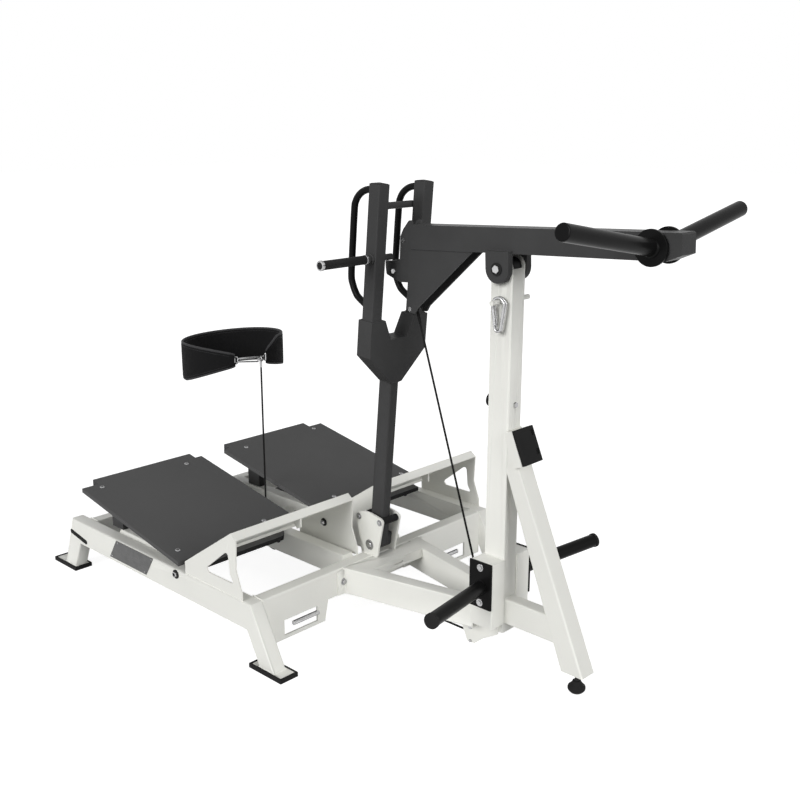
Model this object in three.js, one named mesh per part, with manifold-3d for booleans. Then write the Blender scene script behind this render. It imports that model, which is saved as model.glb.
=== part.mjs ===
// A plate-loaded belt squat machine: a white tube frame with two black foot boards and toe plates,
// a mast with a black lever that carries weight plates, a swinging rack fork, and a hip belt on a cable.
// Millimetres, +Z up, +X towards the weight horns, Y = 0 the plane of symmetry, X = 0 the mast.
import * as THREE from 'three';
import { mergeVertices } from 'three/addons/utils/BufferGeometryUtils.js';
import Module from 'manifold-3d';

const wasm = await Module();
wasm.setup();

// Fits and fineness
const gap = 0.3;
const overrun = 6;
const runningClearance = 0.5;
const weld = 0.0001;
const roundSides = 18;
const cordSides = 8;
const hexSides = 6;

// Overall sizes of the frame
const frameHalfWidth = 622;
const railWidth = 53;
const railTopZ = 226;
const railHeight = 100;
const railRearX = -1706;
const railFrontX = -560;
const rearFootX = -1786;
const frontFootX = -447;
const legWidth = 79;
const footPlateTopZ = 14;

// The mast, the pivot of the lever and the brace
const mastHalfX = 41;
const mastHalfY = 33.5;
const mastBottomZ = 118;
const pivotZ = 1343;

// The lever
const leverTilt = THREE.MathUtils.degToRad(2.7);
const leverHalfWidth = 37;
const leverBottomRise = 46;
const leverDepth = 79;
const leverRearReach = 381;
const leverFrontReach = 566;

// The rack fork
const forkPivotX = -575;
const forkPivotZ = 264;
const forkLean = THREE.MathUtils.degToRad(5);
const forkLength = 1326;

// The foot boards
const boardSlope = 0.1867;
const boardEdgeX = -954;
const boardEdgeTopZ = 264;
const boardRearX = -1632;
const boardThickness = 16;
const boardInnerY = 60;
const boardOverhang = 9;
const boardOuterY = frameHalfWidth + boardOverhang;

// The cable and its pulleys
const cableRadius = 3.2;
const wrapRadius = 45.5;
const pulleyX = -91;
const pulleyZ = 100;
const centrePulleyX = -1191;
const cableTipX = -387;
const cableTipZ = 1168;
const riserTopZ = 848;

// Heights and widths that follow
const railBottomZ = railTopZ - railHeight;
const railInnerY = frameHalfWidth - railWidth;
const railMiddleY = frameHalfWidth - railWidth / 2;

const sides = [
  ['near', -1],
  ['far', 1],
];

const white = { color: 0xe2e2dc, roughness: 0.42, metalness: 0.1 };
const black = { color: 0x2b2b2c, roughness: 0.5, metalness: 0.15 };
const rubber = { color: 0x161616, roughness: 0.85, metalness: 0 };
const boardSkin = { color: 0x444446, roughness: 0.75, metalness: 0 };
const steel = { color: 0xb9bbbd, roughness: 0.3, metalness: 0.9 };
const fabric = { color: 0x1b1b1c, roughness: 0.9, metalness: 0 };
const cord = { color: 0x141414, roughness: 0.55, metalness: 0.1 };

const machine = new THREE.Group();

// Shape helpers

function solidOf(geometry) {
  const bare = geometry.clone();
  bare.deleteAttribute('normal');
  bare.deleteAttribute('uv');
  const merged = mergeVertices(bare, weld);
  return new wasm.Manifold(
    new wasm.Mesh({
      numProp: 3,
      vertProperties: new Float32Array(merged.attributes.position.array),
      triVerts: new Uint32Array(merged.index.array),
    }),
  );
}

function geometryOf(solid) {
  const mesh = solid.getMesh();
  const geometry = new THREE.BufferGeometry();
  geometry.setAttribute('position', new THREE.BufferAttribute(new Float32Array(mesh.vertProperties), 3));
  geometry.setIndex(new THREE.BufferAttribute(new Uint32Array(mesh.triVerts), 1));
  geometry.computeVertexNormals();
  return geometry;
}

function add(name, solid, look) {
  const mesh = new THREE.Mesh(geometryOf(solid), new THREE.MeshStandardMaterial(look));
  mesh.name = name;
  machine.add(mesh);
}

function union(...solids) {
  return solids.reduce((whole, piece) => whole.add(piece));
}

function shapeOf(points, holes) {
  const shape = new THREE.Shape(points.map(([a, b]) => new THREE.Vector2(a, b)));
  for (const hole of holes) {
    shape.holes.push(new THREE.Path(hole.map(([a, b]) => new THREE.Vector2(a, b))));
  }
  return shape;
}

// An outline of [x, z] points drawn out along Y.
function slabY(points, y0, y1, holes = []) {
  const low = Math.min(y0, y1);
  const high = Math.max(y0, y1);
  const geometry = new THREE.ExtrudeGeometry(shapeOf(points, holes), {
    depth: high - low,
    bevelEnabled: false,
  });
  geometry.rotateX(Math.PI / 2);
  geometry.translate(0, high, 0);
  return solidOf(geometry);
}

// An outline of [y, z] points drawn out along X.
function slabX(points, x0, x1, holes = []) {
  const geometry = new THREE.ExtrudeGeometry(shapeOf(points, holes), {
    depth: x1 - x0,
    bevelEnabled: false,
  });
  const turn = new THREE.Matrix4().makeBasis(
    new THREE.Vector3(0, 1, 0),
    new THREE.Vector3(0, 0, 1),
    new THREE.Vector3(1, 0, 0),
  );
  geometry.applyMatrix4(turn);
  geometry.translate(x0, 0, 0);
  return solidOf(geometry);
}

// An outline of [x, y] points drawn out along Z.
function slabZ(points, z0, z1) {
  const geometry = new THREE.ExtrudeGeometry(shapeOf(points, []), {
    depth: z1 - z0,
    bevelEnabled: false,
  });
  geometry.translate(0, 0, z0);
  return solidOf(geometry);
}

function block(x0, x1, ya, yb, z0, z1) {
  const y0 = Math.min(ya, yb);
  const y1 = Math.max(ya, yb);
  const geometry = new THREE.BoxGeometry(x1 - x0, y1 - y0, z1 - z0);
  geometry.translate((x0 + x1) / 2, (y0 + y1) / 2, (z0 + z1) / 2);
  return solidOf(geometry);
}

// A round bar from one point to another.
function bar(from, to, radius, count = roundSides) {
  const start = new THREE.Vector3(...from);
  const end = new THREE.Vector3(...to);
  const geometry = new THREE.CylinderGeometry(radius, radius, start.distanceTo(end), count);
  const way = end.clone().sub(start).normalize();
  geometry.applyQuaternion(new THREE.Quaternion().setFromUnitVectors(new THREE.Vector3(0, 1, 0), way));
  const middle = start.add(end).multiplyScalar(1 / 2);
  geometry.translate(middle.x, middle.y, middle.z);
  return solidOf(geometry);
}

// A round bar along Y at one X and Z.
function pinY(x, z, y0, y1, radius, count = roundSides) {
  return bar([x, y0, z], [x, y1, z], radius, count);
}

// A tube or cord along a smooth path.
function sweep(points, radius, steps, count = cordSides) {
  const curve = new THREE.CatmullRomCurve3(points.map((p) => new THREE.Vector3(...p)));
  const section = new THREE.Shape();
  for (let i = 0; i < count; i += 1) {
    const angle = (2 * Math.PI * i) / count;
    const place = [radius * Math.cos(angle), radius * Math.sin(angle)];
    if (i === 0) {
      section.moveTo(...place);
    } else {
      section.lineTo(...place);
    }
  }
  section.closePath();
  return solidOf(new THREE.ExtrudeGeometry(section, { steps, bevelEnabled: false, extrudePath: curve }));
}

// Points of an arc in a plane of two coordinates, from one angle to another, in degrees.
function arc(centreA, centreB, radius, fromDegrees, toDegrees, count) {
  const points = [];
  for (let i = 0; i <= count; i += 1) {
    const angle = THREE.MathUtils.degToRad(fromDegrees + ((toDegrees - fromDegrees) * i) / count);
    points.push([centreA + radius * Math.cos(angle), centreB + radius * Math.sin(angle)]);
  }
  return points;
}

function mirrored(points, side) {
  return points.map(([x, y]) => [x, side * y]);
}

// Side frames: a rail with a ledge inside it, a sloping leg at each end and a steel plate under each leg

const frontKneeX = -587;
const rearKneeX = -1656;
const footPlateLength = 150;
const footPlateWidth = 62;
const footPlateThickness = 6;
const rearPadX = -1775;
const frontPadX = -483;
const axleX = -985;
const axleZ = 206;
const axleRadius = 8;

const ledgeWidth = 36;
const ledgeTopZ = 238;
const ledgeHeight = 60;
const ledgeRearX = -1431;
const ledgeFrontX = -1010;
const footPlateBottomZ = footPlateTopZ - footPlateThickness;

for (const [name, side] of sides) {
  const outline = [
    [railRearX, railTopZ],
    [railFrontX, railTopZ],
    [frontFootX, footPlateTopZ],
    [frontFootX - legWidth, footPlateTopZ],
    [frontKneeX, railBottomZ],
    [rearKneeX, railBottomZ],
    [rearFootX + legWidth, footPlateTopZ],
    [rearFootX, footPlateTopZ],
  ];
  let frame = slabY(outline, side * railInnerY, side * frameHalfWidth);
  for (const padX of [rearPadX, frontPadX]) {
    const plate = block(
      padX - footPlateLength / 2,
      padX + footPlateLength / 2,
      side * (railMiddleY - footPlateWidth / 2),
      side * (railMiddleY + footPlateWidth / 2),
      footPlateBottomZ,
      footPlateTopZ,
    );
    frame = frame.add(plate);
  }
  const ledge = block(
    ledgeRearX,
    ledgeFrontX,
    side * (railInnerY - ledgeWidth),
    side * (railInnerY + overrun),
    ledgeTopZ - ledgeHeight,
    ledgeTopZ,
  );
  const ledgeShelf = ledge.subtract(
    block(ledgeRearX, ledgeFrontX, side * railInnerY, side * frameHalfWidth, railTopZ, ledgeTopZ),
  );
  frame = frame.add(ledgeShelf);
  const bore = pinY(
    axleX,
    axleZ,
    side * (railInnerY - overrun),
    side * (frameHalfWidth + overrun),
    axleRadius + gap,
  );
  add(`side_frame_${name}`, frame.subtract(bore), white);
}

// Rubber feet: a shallow cup round each foot plate

const footLength = 166;
const footWidth = 76;
const footHeight = 17;
const footPocketLength = footPlateLength + 2 * gap;
const footPocketWidth = footPlateWidth + 2 * gap;

for (const [name, side] of sides) {
  for (const [end, padX] of [
    ['rear', rearPadX],
    ['front', frontPadX],
  ]) {
    const cup = block(
      padX - footLength / 2,
      padX + footLength / 2,
      side * (railMiddleY - footWidth / 2),
      side * (railMiddleY + footWidth / 2),
      0,
      footHeight,
    );
    const pocket = block(
      padX - footPocketLength / 2,
      padX + footPocketLength / 2,
      side * (railMiddleY - footPocketWidth / 2),
      side * (railMiddleY + footPocketWidth / 2),
      footPlateBottomZ - gap,
      footHeight + overrun,
    );
    add(`rubber_foot_${end}_${name}`, cup.subtract(pocket), rubber);
  }
}

// Cross members between the side frames

const crossFrontX = -559;
const crossWidth = 53;
const rearCrossX = -1652;
const crossRearX = crossFrontX - crossWidth;
const rearCrossFrontX = rearCrossX + crossWidth;
const crossHalfLength = railInnerY - gap;

add(
  'rear_cross_beam',
  block(rearCrossX, rearCrossFrontX, -crossHalfLength, crossHalfLength, railBottomZ, railTopZ),
  white,
);

// Inner beams under the inner edges of the boards

const innerBeamInnerY = 100;
const innerBeamWidth = 50;
const innerBeamTopZ = 240;
const innerBeamHeight = 92;
const slotHeight = 9;
const slotTopZ = 232;
const slotRearX = -930;
const slotLength = 44;
const slotStep = 82;
const slotDepth = 4;
const innerBeamOuterY = innerBeamInnerY + innerBeamWidth;

for (const [name, side] of sides) {
  let beam = block(
    rearCrossFrontX + gap,
    crossRearX - gap,
    side * innerBeamInnerY,
    side * innerBeamOuterY,
    innerBeamTopZ - innerBeamHeight,
    innerBeamTopZ,
  );
  for (const index of [0, 1]) {
    const slotX = slotRearX + slotStep * index;
    beam = beam.subtract(
      block(
        slotX,
        slotX + slotLength,
        side * (innerBeamInnerY - overrun),
        side * (innerBeamInnerY + slotDepth),
        slotTopZ - slotHeight,
        slotTopZ,
      ),
    );
  }
  const bore = pinY(
    axleX,
    axleZ,
    side * (innerBeamInnerY - overrun),
    side * (innerBeamOuterY + overrun),
    axleRadius + gap,
  );
  add(`inner_beam_${name}`, beam.subtract(bore), white);
}

// Bare name plate on the near rail

const badgeThickness = 1.5;
const badgeHeight = 80;
const badgeLength = 250;
const badgeLean = 53;
const badgeRearX = -1377;
const badgeTopZ = 222;
add(
  'name_plate',
  slabY(
    [
      [badgeRearX, badgeTopZ],
      [badgeRearX + badgeLength, badgeTopZ],
      [badgeRearX + badgeLength - badgeLean, badgeTopZ - badgeHeight],
      [badgeRearX - badgeLean, badgeTopZ - badgeHeight],
    ],
    -frameHalfWidth - gap,
    -frameHalfWidth - gap - badgeThickness,
  ),
  steel,
);

const halfTurn = 180;

// Front cross beam, with a window plate welded under each end and a short round bar in each window

const windowPlateThickness = 8;
const windowPlateTopReach = 53;
const windowPlateBottomReach = 35;
const windowPlateBottomZ = 48;
const windowInset = 144;
const windowLength = 153;
const windowBottomZ = 62;
const windowTopZ = 119;
const bandBarRadius = 8.5;
const bandBarZ = 92.6;
const bandBarLength = 111;
const windowPlateRearX = crossFrontX - windowPlateThickness;
const windowOuterY = frameHalfWidth - windowInset;
const windowInnerY = windowOuterY - windowLength;
const windowPlateTopInnerY = windowInnerY - windowPlateTopReach;
const windowPlateBottomInnerY = windowInnerY - windowPlateBottomReach;
const bandBarEndY = windowInnerY + bandBarLength;

let crossBeam = block(crossRearX, crossFrontX, -crossHalfLength, crossHalfLength, railBottomZ, railTopZ);
for (const [, side] of sides) {
  const outline = [
    [side * windowPlateTopInnerY, railBottomZ + overrun],
    [side * crossHalfLength, railBottomZ + overrun],
    [side * crossHalfLength, windowPlateBottomZ],
    [side * windowPlateBottomInnerY, windowPlateBottomZ],
  ];
  const hole = [
    [side * windowInnerY, windowBottomZ],
    [side * windowOuterY, windowBottomZ],
    [side * windowOuterY, windowTopZ],
    [side * windowInnerY, windowTopZ],
  ];
  const plate = slabX(outline, windowPlateRearX, crossFrontX, [hole]);
  const middleX = windowPlateRearX + windowPlateThickness / 2;
  const rod = pinY(middleX, bandBarZ, side * (windowInnerY - overrun), side * bandBarEndY, bandBarRadius);
  crossBeam = union(crossBeam, plate, rod);
}
add('front_cross_beam', crossBeam, white);

// V frame from the front cross beam to the mast: two arms, each with a bolted flange, and a tie ledge

const armWidth = 50;
const armStartY = 172;
const armEndY = 60;
const flangeThickness = 8;
const flangeInnerY = 110;
const flangeOuterY = 230;
const flangeTopZ = 222;
const flangeBottomZ = 128;
const flangeCorner = 12;
const boltHeadRadius = 9;
const boltHeadThickness = 6;
const flangeBoltY = 204;
const flangeBoltZ = 176;
const tieFrontX = -472;
const tieThickness = 36;
const tieSlotHeight = 8;
const tieSlotHalfLength = 22;
const tieSlotRise = 14;
const hornBoxHalfX = 46;
const flangeFrontX = crossFrontX + gap + flangeThickness;
const armEndX = -hornBoxHalfX - gap;
const armSlope = (armStartY - armEndY) / (armEndX - flangeFrontX);
const armHalfY = (armWidth / 2) * Math.sqrt(1 + armSlope * armSlope);

const vPieces = [];
for (const [, side] of sides) {
  const arm = slabZ(
    mirrored(
      [
        [crossFrontX + gap, armStartY - armHalfY],
        [flangeFrontX, armStartY - armHalfY],
        [armEndX, armEndY - armHalfY],
        [armEndX, armEndY + armHalfY],
        [flangeFrontX, armStartY + armHalfY],
        [crossFrontX + gap, armStartY + armHalfY],
      ],
      side,
    ),
    railBottomZ,
    railTopZ,
  );
  const flange = slabX(
    [
      [side * flangeInnerY, flangeBottomZ],
      [side * flangeOuterY, flangeBottomZ],
      [side * flangeOuterY, flangeTopZ - flangeCorner],
      [side * (flangeOuterY - flangeCorner), flangeTopZ],
      [side * flangeInnerY, flangeTopZ],
    ],
    crossFrontX + gap,
    flangeFrontX,
  );
  const bolt = bar(
    [flangeFrontX - flangeThickness / 2, side * flangeBoltY, flangeBoltZ],
    [flangeFrontX + boltHeadThickness, side * flangeBoltY, flangeBoltZ],
    boltHeadRadius,
    hexSides,
  );
  vPieces.push(arm, flange, bolt);
}

function armInnerY(x) {
  return armStartY - armHalfY - (x - flangeFrontX) * armSlope + overrun;
}

const tieRearX = flangeFrontX;
const tie = slabZ(
  [
    [tieRearX, -armInnerY(tieRearX)],
    [tieFrontX, -armInnerY(tieFrontX)],
    [tieFrontX, armInnerY(tieFrontX)],
    [tieRearX, armInnerY(tieRearX)],
  ],
  railTopZ - tieThickness,
  railTopZ,
);
const tieSlot = block(
  tieFrontX - slotDepth,
  tieFrontX + overrun,
  -tieSlotHalfLength,
  tieSlotHalfLength,
  railTopZ - tieThickness + tieSlotRise,
  railTopZ - tieThickness + tieSlotRise + tieSlotHeight,
);
add('v_frame', union(...vPieces, tie.subtract(tieSlot)), white);

// Mast: a tube whose top ends in two round cheeks, with a storage peg on each side

const cheekThickness = 6;
const pivotPinRadius = 10;
const headArcSteps = 12;
const bearingRadius = 32;
const mastHeadRadius = mastHalfX;

const mastOutline = [
  [-mastHalfX, mastBottomZ],
  [mastHalfX, mastBottomZ],
  ...arc(0, pivotZ, mastHeadRadius, 0, halfTurn, headArcSteps),
];
const mastBody = slabY(mastOutline, -mastHalfY, mastHalfY);
const headSlotHalf = mastHalfY - cheekThickness;
const headSlot = union(
  block(
    -mastHalfX - overrun,
    mastHalfX + overrun,
    -headSlotHalf,
    headSlotHalf,
    pivotZ,
    pivotZ + mastHeadRadius + overrun,
  ),
  pinY(0, pivotZ, -headSlotHalf, headSlotHalf, bearingRadius + runningClearance),
);
const mastBore = pinY(0, pivotZ, -mastHalfY - overrun, mastHalfY + overrun, pivotPinRadius + gap);
const pegX = 10;
const pegZ = 1242;
const pegRadius = 8;
const pegLength = 60;
const bumperZ = 908;
const bumperBoltRadius = 9;
const pegs = pinY(pegX, pegZ, -mastHalfY - pegLength, mastHalfY + pegLength, pegRadius);
const bumperBolt = bar(
  [0, 0, bumperZ],
  [mastHalfX + boltHeadThickness, 0, bumperZ],
  bumperBoltRadius,
  hexSides,
);
add('mast', union(mastBody.subtract(headSlot).subtract(mastBore), pegs, bumperBolt), white);

// Pivot pin through the mast head and the lever's lugs, with the bearing barrel between the cheeks

const lugInnerY = 36;
const lugThickness = 22;
const pinHeadRadius = 15;
const pinHeadThickness = 9;
const lugOuterY = lugInnerY + lugThickness;
const pinHeadY = lugOuterY + runningClearance;
const barrelHalf = mastHalfY - cheekThickness - gap;

add(
  'pivot_pin',
  union(
    pinY(0, pivotZ, -pinHeadY - pinHeadThickness / 2, pinHeadY + pinHeadThickness / 2, pivotPinRadius),
    pinY(0, pivotZ, -pinHeadY - pinHeadThickness, -pinHeadY, pinHeadRadius, hexSides),
    pinY(0, pivotZ, pinHeadY, pinHeadY + pinHeadThickness, pinHeadRadius, hexSides),
    pinY(0, pivotZ, -barrelHalf, barrelHalf, bearingRadius),
  ),
  steel,
);

// Brace behind the mast, its levelling foot and the padded stop at its top

const braceHalfY = 35;
const braceTopZ = 830;
const braceSeatZ = 682;
const braceBottomZ = 72;
const braceBottomRearX = 280;
const braceBottomFrontX = 365;
const footStemRadius = 7;
const footBaseRadius = 19;
const footDiscRadius = 29;
const footDiscLow = 12;
const footDiscHeight = 21;
const footDomeHeight = 41;
const footDomeRadius = 14;
const braceSeatX = mastHalfX + gap;
const braceFootX = (braceBottomRearX + braceBottomFrontX) / 2;

function lathe(profile, count = roundSides) {
  return new THREE.LatheGeometry(
    profile.map(([r, h]) => new THREE.Vector2(r, h)),
    count,
  );
}

const footGeometry = lathe([
  [0, 0],
  [footBaseRadius, 0],
  [footDiscRadius, footDiscLow],
  [footDiscRadius, footDiscHeight],
  [footDomeRadius, footDomeHeight],
  [footStemRadius, footDomeHeight],
  [footStemRadius, braceBottomZ - gap],
  [0, braceBottomZ - gap],
]);
footGeometry.rotateX(Math.PI / 2);
footGeometry.translate(braceFootX, 0, 0);
add('levelling_foot', solidOf(footGeometry), rubber);

const stopHalfY = 46;
const stopPlateLength = 118;
const stopPlateThickness = 24;
const stopPadThickness = 15;
const stopTopZ = 825;
const stopBoltRadius = 9;
const stopBoltY = 33;
const stopBoltShares = [0.19, 0.72];
const braceRun = new THREE.Vector2(braceBottomFrontX - braceSeatX, braceBottomZ - braceTopZ).normalize();
const braceOut = new THREE.Vector2(-braceRun.y, braceRun.x);

// A point of the brace's sloping outer face: how far down it from the stop's top, and how far out.
function stopPoint(down, out) {
  const start = (stopTopZ - braceTopZ) / braceRun.y;
  const x = braceSeatX + braceRun.x * (start + down) + braceOut.x * out;
  const z = braceTopZ + braceRun.y * (start + down) + braceOut.y * out;
  return [x, z];
}

const stopPlate = slabY(
  [
    stopPoint(0, -stopPlateThickness / 2),
    stopPoint(stopPlateLength, -stopPlateThickness / 2),
    stopPoint(stopPlateLength, stopPlateThickness),
    stopPoint(0, stopPlateThickness),
  ],
  -stopHalfY,
  stopHalfY,
);
const braceTube = slabY(
  [
    [braceSeatX, braceTopZ],
    [braceSeatX, braceSeatZ],
    [braceBottomRearX, braceBottomZ],
    [braceBottomFrontX, braceBottomZ],
  ],
  -braceHalfY,
  braceHalfY,
);
const mastSpace = block(0, braceSeatX, -railWidth, railWidth, braceSeatZ, braceTopZ + railHeight);
add('brace', union(braceTube, stopPlate).subtract(mastSpace), white);
const stopPadOut = stopPlateThickness + gap;
let stopPad = slabY(
  [
    stopPoint(0, stopPadOut),
    stopPoint(stopPlateLength, stopPadOut),
    stopPoint(stopPlateLength, stopPadOut + stopPadThickness),
    stopPoint(0, stopPadOut + stopPadThickness),
  ],
  -stopHalfY,
  stopHalfY,
);
for (const share of stopBoltShares) {
  const [deepX, deepZ] = stopPoint(stopPlateLength * share, stopPadOut + stopPadThickness / 2);
  const [outX, outZ] = stopPoint(stopPlateLength * share, stopPadOut + stopPadThickness + overrun);
  stopPad = stopPad.subtract(bar([deepX, stopBoltY, deepZ], [outX, stopBoltY, outZ], stopBoltRadius));
}
add('stop_pad', stopPad, rubber);

// Tail tube from the mast's foot to the brace

const tailHalfY = 26;
const tailTopZ = 242;
const tailHeight = 90;

function braceRearX(z) {
  const share = (braceSeatZ - z) / (braceSeatZ - braceBottomZ);
  return braceSeatX + (braceBottomRearX - braceSeatX) * share;
}

const tailBottomZ = tailTopZ - tailHeight;
const braceSlack = 2 * gap;
add(
  'tail_tube',
  slabY(
    [
      [mastHalfX + gap, tailTopZ],
      [mastHalfX + gap, tailBottomZ],
      [braceRearX(tailBottomZ) - braceSlack, tailBottomZ],
      [braceRearX(tailTopZ) - braceSlack, tailTopZ],
    ],
    -tailHalfY,
    tailHalfY,
  ),
  white,
);

// Boxes on both sides of the mast's foot that carry the storage horns

const hornBoxOuterY = 100;
const hornBoxBottomZ = 155;
const hornBoxTopZ = 385;
const hornPlateThickness = 7;
const hornPlateBottomZ = 225;
const hornPlateTopZ = 388;
const hornPlateHighBoltZ = 368;
const hornPlateLowBoltZ = 244;
const storageRootX = 3;
const storageRootZ = 300;
const storageEndX = 83;
const storageEndY = 440;
const storageEndZ = 326;
const storageRadius = 23;
const storageCapRadius = 25;
const storageCapLength = 12;

for (const [name, side] of sides) {
  const boxInnerY = mastHalfY + gap;
  add(
    `horn_box_${name}`,
    block(
      -hornBoxHalfX,
      hornBoxHalfX,
      side * boxInnerY,
      side * hornBoxOuterY,
      hornBoxBottomZ,
      hornBoxTopZ,
    ),
    white,
  );
  const plateY = hornBoxOuterY + gap;
  const plateOutY = plateY + hornPlateThickness;
  const root = new THREE.Vector3(storageRootX, side * (plateY + hornPlateThickness / 2), storageRootZ);
  const end = new THREE.Vector3(storageEndX, side * storageEndY, storageEndZ);
  const capStart = end.clone().add(
    root.clone().sub(end).setLength(storageCapLength),
  );
  const pieces = [
    block(
      -hornBoxHalfX,
      hornBoxHalfX,
      side * plateY,
      side * plateOutY,
      hornPlateBottomZ,
      hornPlateTopZ,
    ),
    bar(root.toArray(), end.toArray(), storageRadius),
    bar(capStart.toArray(), end.toArray(), storageCapRadius),
  ];
  const fence = block(
    -hornBoxHalfX - overrun,
    hornBoxHalfX + overrun,
    0,
    side * plateY,
    hornPlateBottomZ,
    hornPlateTopZ,
  );
  for (const boltZ of [hornPlateHighBoltZ, hornPlateLowBoltZ]) {
    pieces.push(
      pinY(0, boltZ, side * (plateY + hornPlateThickness / 2), side * (plateOutY + boltHeadThickness),
        boltHeadRadius, hexSides),
    );
  }
  add(`storage_horn_${name}`, union(...pieces).subtract(fence), black);
}

// Pulley bracket at the mast's foot, with its pin and the keeper under the pulley

const bracketThickness = 5;
const bracketShares = [
  [-1.05, 0.25],
  [-0.3, 0.48],
  [1.03, 0.48],
  [1.03, 1.09],
  [2.55, 1.09],
  [2.55, 0.2],
  [1.2, -0.6],
  [0.35, -1.3],
  [-0.35, -1.3],
];
const pulleyPinRadius = 8;
const keeperRadius = 5;
const bracketY = mastHalfY + gap;
const bracketOuterY = bracketY + bracketThickness;
const bracketPinY = bracketOuterY + boltHeadThickness;
const keeperZ = pulleyZ - wrapRadius - cableRadius - keeperRadius - runningClearance;

const bracketOutline = bracketShares.map(([a, b]) => [
  pulleyX + wrapRadius * a,
  pulleyZ + wrapRadius * b,
]);
add(
  'pulley_bracket',
  union(
    slabY(bracketOutline, -bracketY, -bracketOuterY),
    slabY(bracketOutline, bracketY, bracketOuterY),
    pinY(pulleyX, pulleyZ, -bracketPinY, bracketPinY, pulleyPinRadius),
    pinY(pulleyX, keeperZ, -bracketPinY, bracketPinY, keeperRadius),
  ),
  white,
);

// Grooved pulleys at the mast's foot and under the boards

const pulleyHalfWidth = 9;
const grooveHalfWidth = 3.6;
const pulleyRimWidth = 2.5;
const grooveRadius = wrapRadius - cableRadius - gap;
const pulleyRadius = wrapRadius + cableRadius;

function pulley(x, z) {
  const boreRadius = pulleyPinRadius + gap;
  const geometry = lathe([
    [boreRadius, -pulleyHalfWidth],
    [pulleyRadius, -pulleyHalfWidth],
    [pulleyRadius, -pulleyHalfWidth + pulleyRimWidth],
    [grooveRadius, -grooveHalfWidth],
    [grooveRadius, grooveHalfWidth],
    [pulleyRadius, pulleyHalfWidth - pulleyRimWidth],
    [pulleyRadius, pulleyHalfWidth],
    [boreRadius, pulleyHalfWidth],
    [boreRadius, -pulleyHalfWidth],
  ]);
  geometry.translate(x, 0, z);
  return solidOf(geometry);
}

add('mast_pulley', pulley(pulleyX, pulleyZ), black);
add('centre_pulley', pulley(centrePulleyX, pulleyZ), black);

// Hanger of the centre pulley: a tie between the inner beams with two cheeks and a pin

const hangerRearX = -1221;
const hangerFrontX = -1161;
const hangerTopZ = 205;
const hangerHeight = 50;
const hangerCheekInnerY = 14;
const hangerCheekThickness = 6;
const hangerCheekBottomZ = 82;
const hangerCheekOuterY = hangerCheekInnerY + hangerCheekThickness;

const hangerPieces = [
  block(
    hangerRearX,
    hangerFrontX,
    -innerBeamInnerY + gap,
    innerBeamInnerY - gap,
    hangerTopZ - hangerHeight,
    hangerTopZ,
  ),
  pinY(
    centrePulleyX,
    pulleyZ,
    -hangerCheekOuterY - boltHeadThickness,
    hangerCheekOuterY + boltHeadThickness,
    pulleyPinRadius,
  ),
];
for (const [, side] of sides) {
  hangerPieces.push(
    block(
      hangerRearX,
      hangerFrontX,
      side * hangerCheekInnerY,
      side * hangerCheekOuterY,
      hangerCheekBottomZ,
      hangerTopZ - hangerHeight / 2,
    ),
  );
}
add('pulley_hanger', union(...hangerPieces), white);

// The cable: lever run in two lengths, under run with its two quarter wraps, and the riser to the belt

const riserX = centrePulleyX - wrapRadius;
const underZ = pulleyZ - wrapRadius;
const wrapSteps = 8;
const cableJoinShare = 0.5;

// Where the straight run from the lever meets the pulley: the angle round the pulley, and the point.
const tipAway = new THREE.Vector2(cableTipX - pulleyX, cableTipZ - pulleyZ);
const tangentTurn = Math.atan2(tipAway.y, tipAway.x) - Math.acos(wrapRadius / tipAway.length());
const tangentDegrees = THREE.MathUtils.radToDeg(tangentTurn);
const tangentX = pulleyX + wrapRadius * Math.cos(tangentTurn);
const tangentZ = pulleyZ + wrapRadius * Math.sin(tangentTurn);

function wrapPoints(centreX, fromDegrees, toDegrees) {
  return arc(centreX, pulleyZ, wrapRadius, fromDegrees, toDegrees, wrapSteps).map(([x, z]) => [x, 0, z]);
}

const underStart = -90;
const swingRoom = 6.5;
add(
  'under_cable',
  union(
    sweep(wrapPoints(pulleyX, tangentDegrees - swingRoom, underStart), cableRadius, wrapSteps),
    bar([pulleyX + weld, 0, underZ], [centrePulleyX - weld, 0, underZ], cableRadius, cordSides),
    sweep(wrapPoints(centrePulleyX, underStart, -halfTurn), cableRadius, wrapSteps),
  ),
  cord,
);

const leverCableWay = new THREE.Vector3(cableTipX - tangentX, 0, cableTipZ - tangentZ);
const leverCableLength = leverCableWay.length();
const eyeRadius = 12;
const eyeThickness = 8;
const eyeBoltRadius = 5;
const swageRadius = 4;
const swageLength = 45;

function leverCablePoint(along) {
  const point = leverCableWay.clone().setLength(along);
  return [tangentX + point.x, 0, tangentZ + point.z];
}

const lowerStart = cableRadius / 2;
const joinAlong = leverCableLength * cableJoinShare;
add(
  'lever_cable_lower',
  bar(leverCablePoint(lowerStart), leverCablePoint(joinAlong - gap), cableRadius, cordSides),
  cord,
);
const eyeHole = pinY(cableTipX, cableTipZ, -eyeThickness, eyeThickness, eyeBoltRadius + gap);
add(
  'lever_cable_upper',
  union(
    bar(leverCablePoint(joinAlong), leverCablePoint(leverCableLength - eyeRadius / 2), cableRadius, cordSides),
    bar(
      leverCablePoint(leverCableLength - eyeRadius / 2 - swageLength),
      leverCablePoint(leverCableLength - eyeRadius / 2),
      swageRadius,
    ),
    pinY(cableTipX, cableTipZ, -eyeThickness / 2, eyeThickness / 2, eyeRadius),
  ).subtract(eyeHole),
  cord,
);
add(
  'riser_cable',
  bar([riserX, 0, pulleyZ + cableRadius / 2], [riserX, 0, riserTopZ], cableRadius, cordSides),
  cord,
);

// Rubber bumper on the mast, and two steel snap hooks on its near peg

const bumperRadius = 24;
const bumperLength = 22;
const snapLength = 114;
const snapWidth = 52;
const snapThickness = 8;
const snapBand = 9;
const snapFirstY = 44;
const snapStep = 11;
const snapArcSteps = 10;

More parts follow.
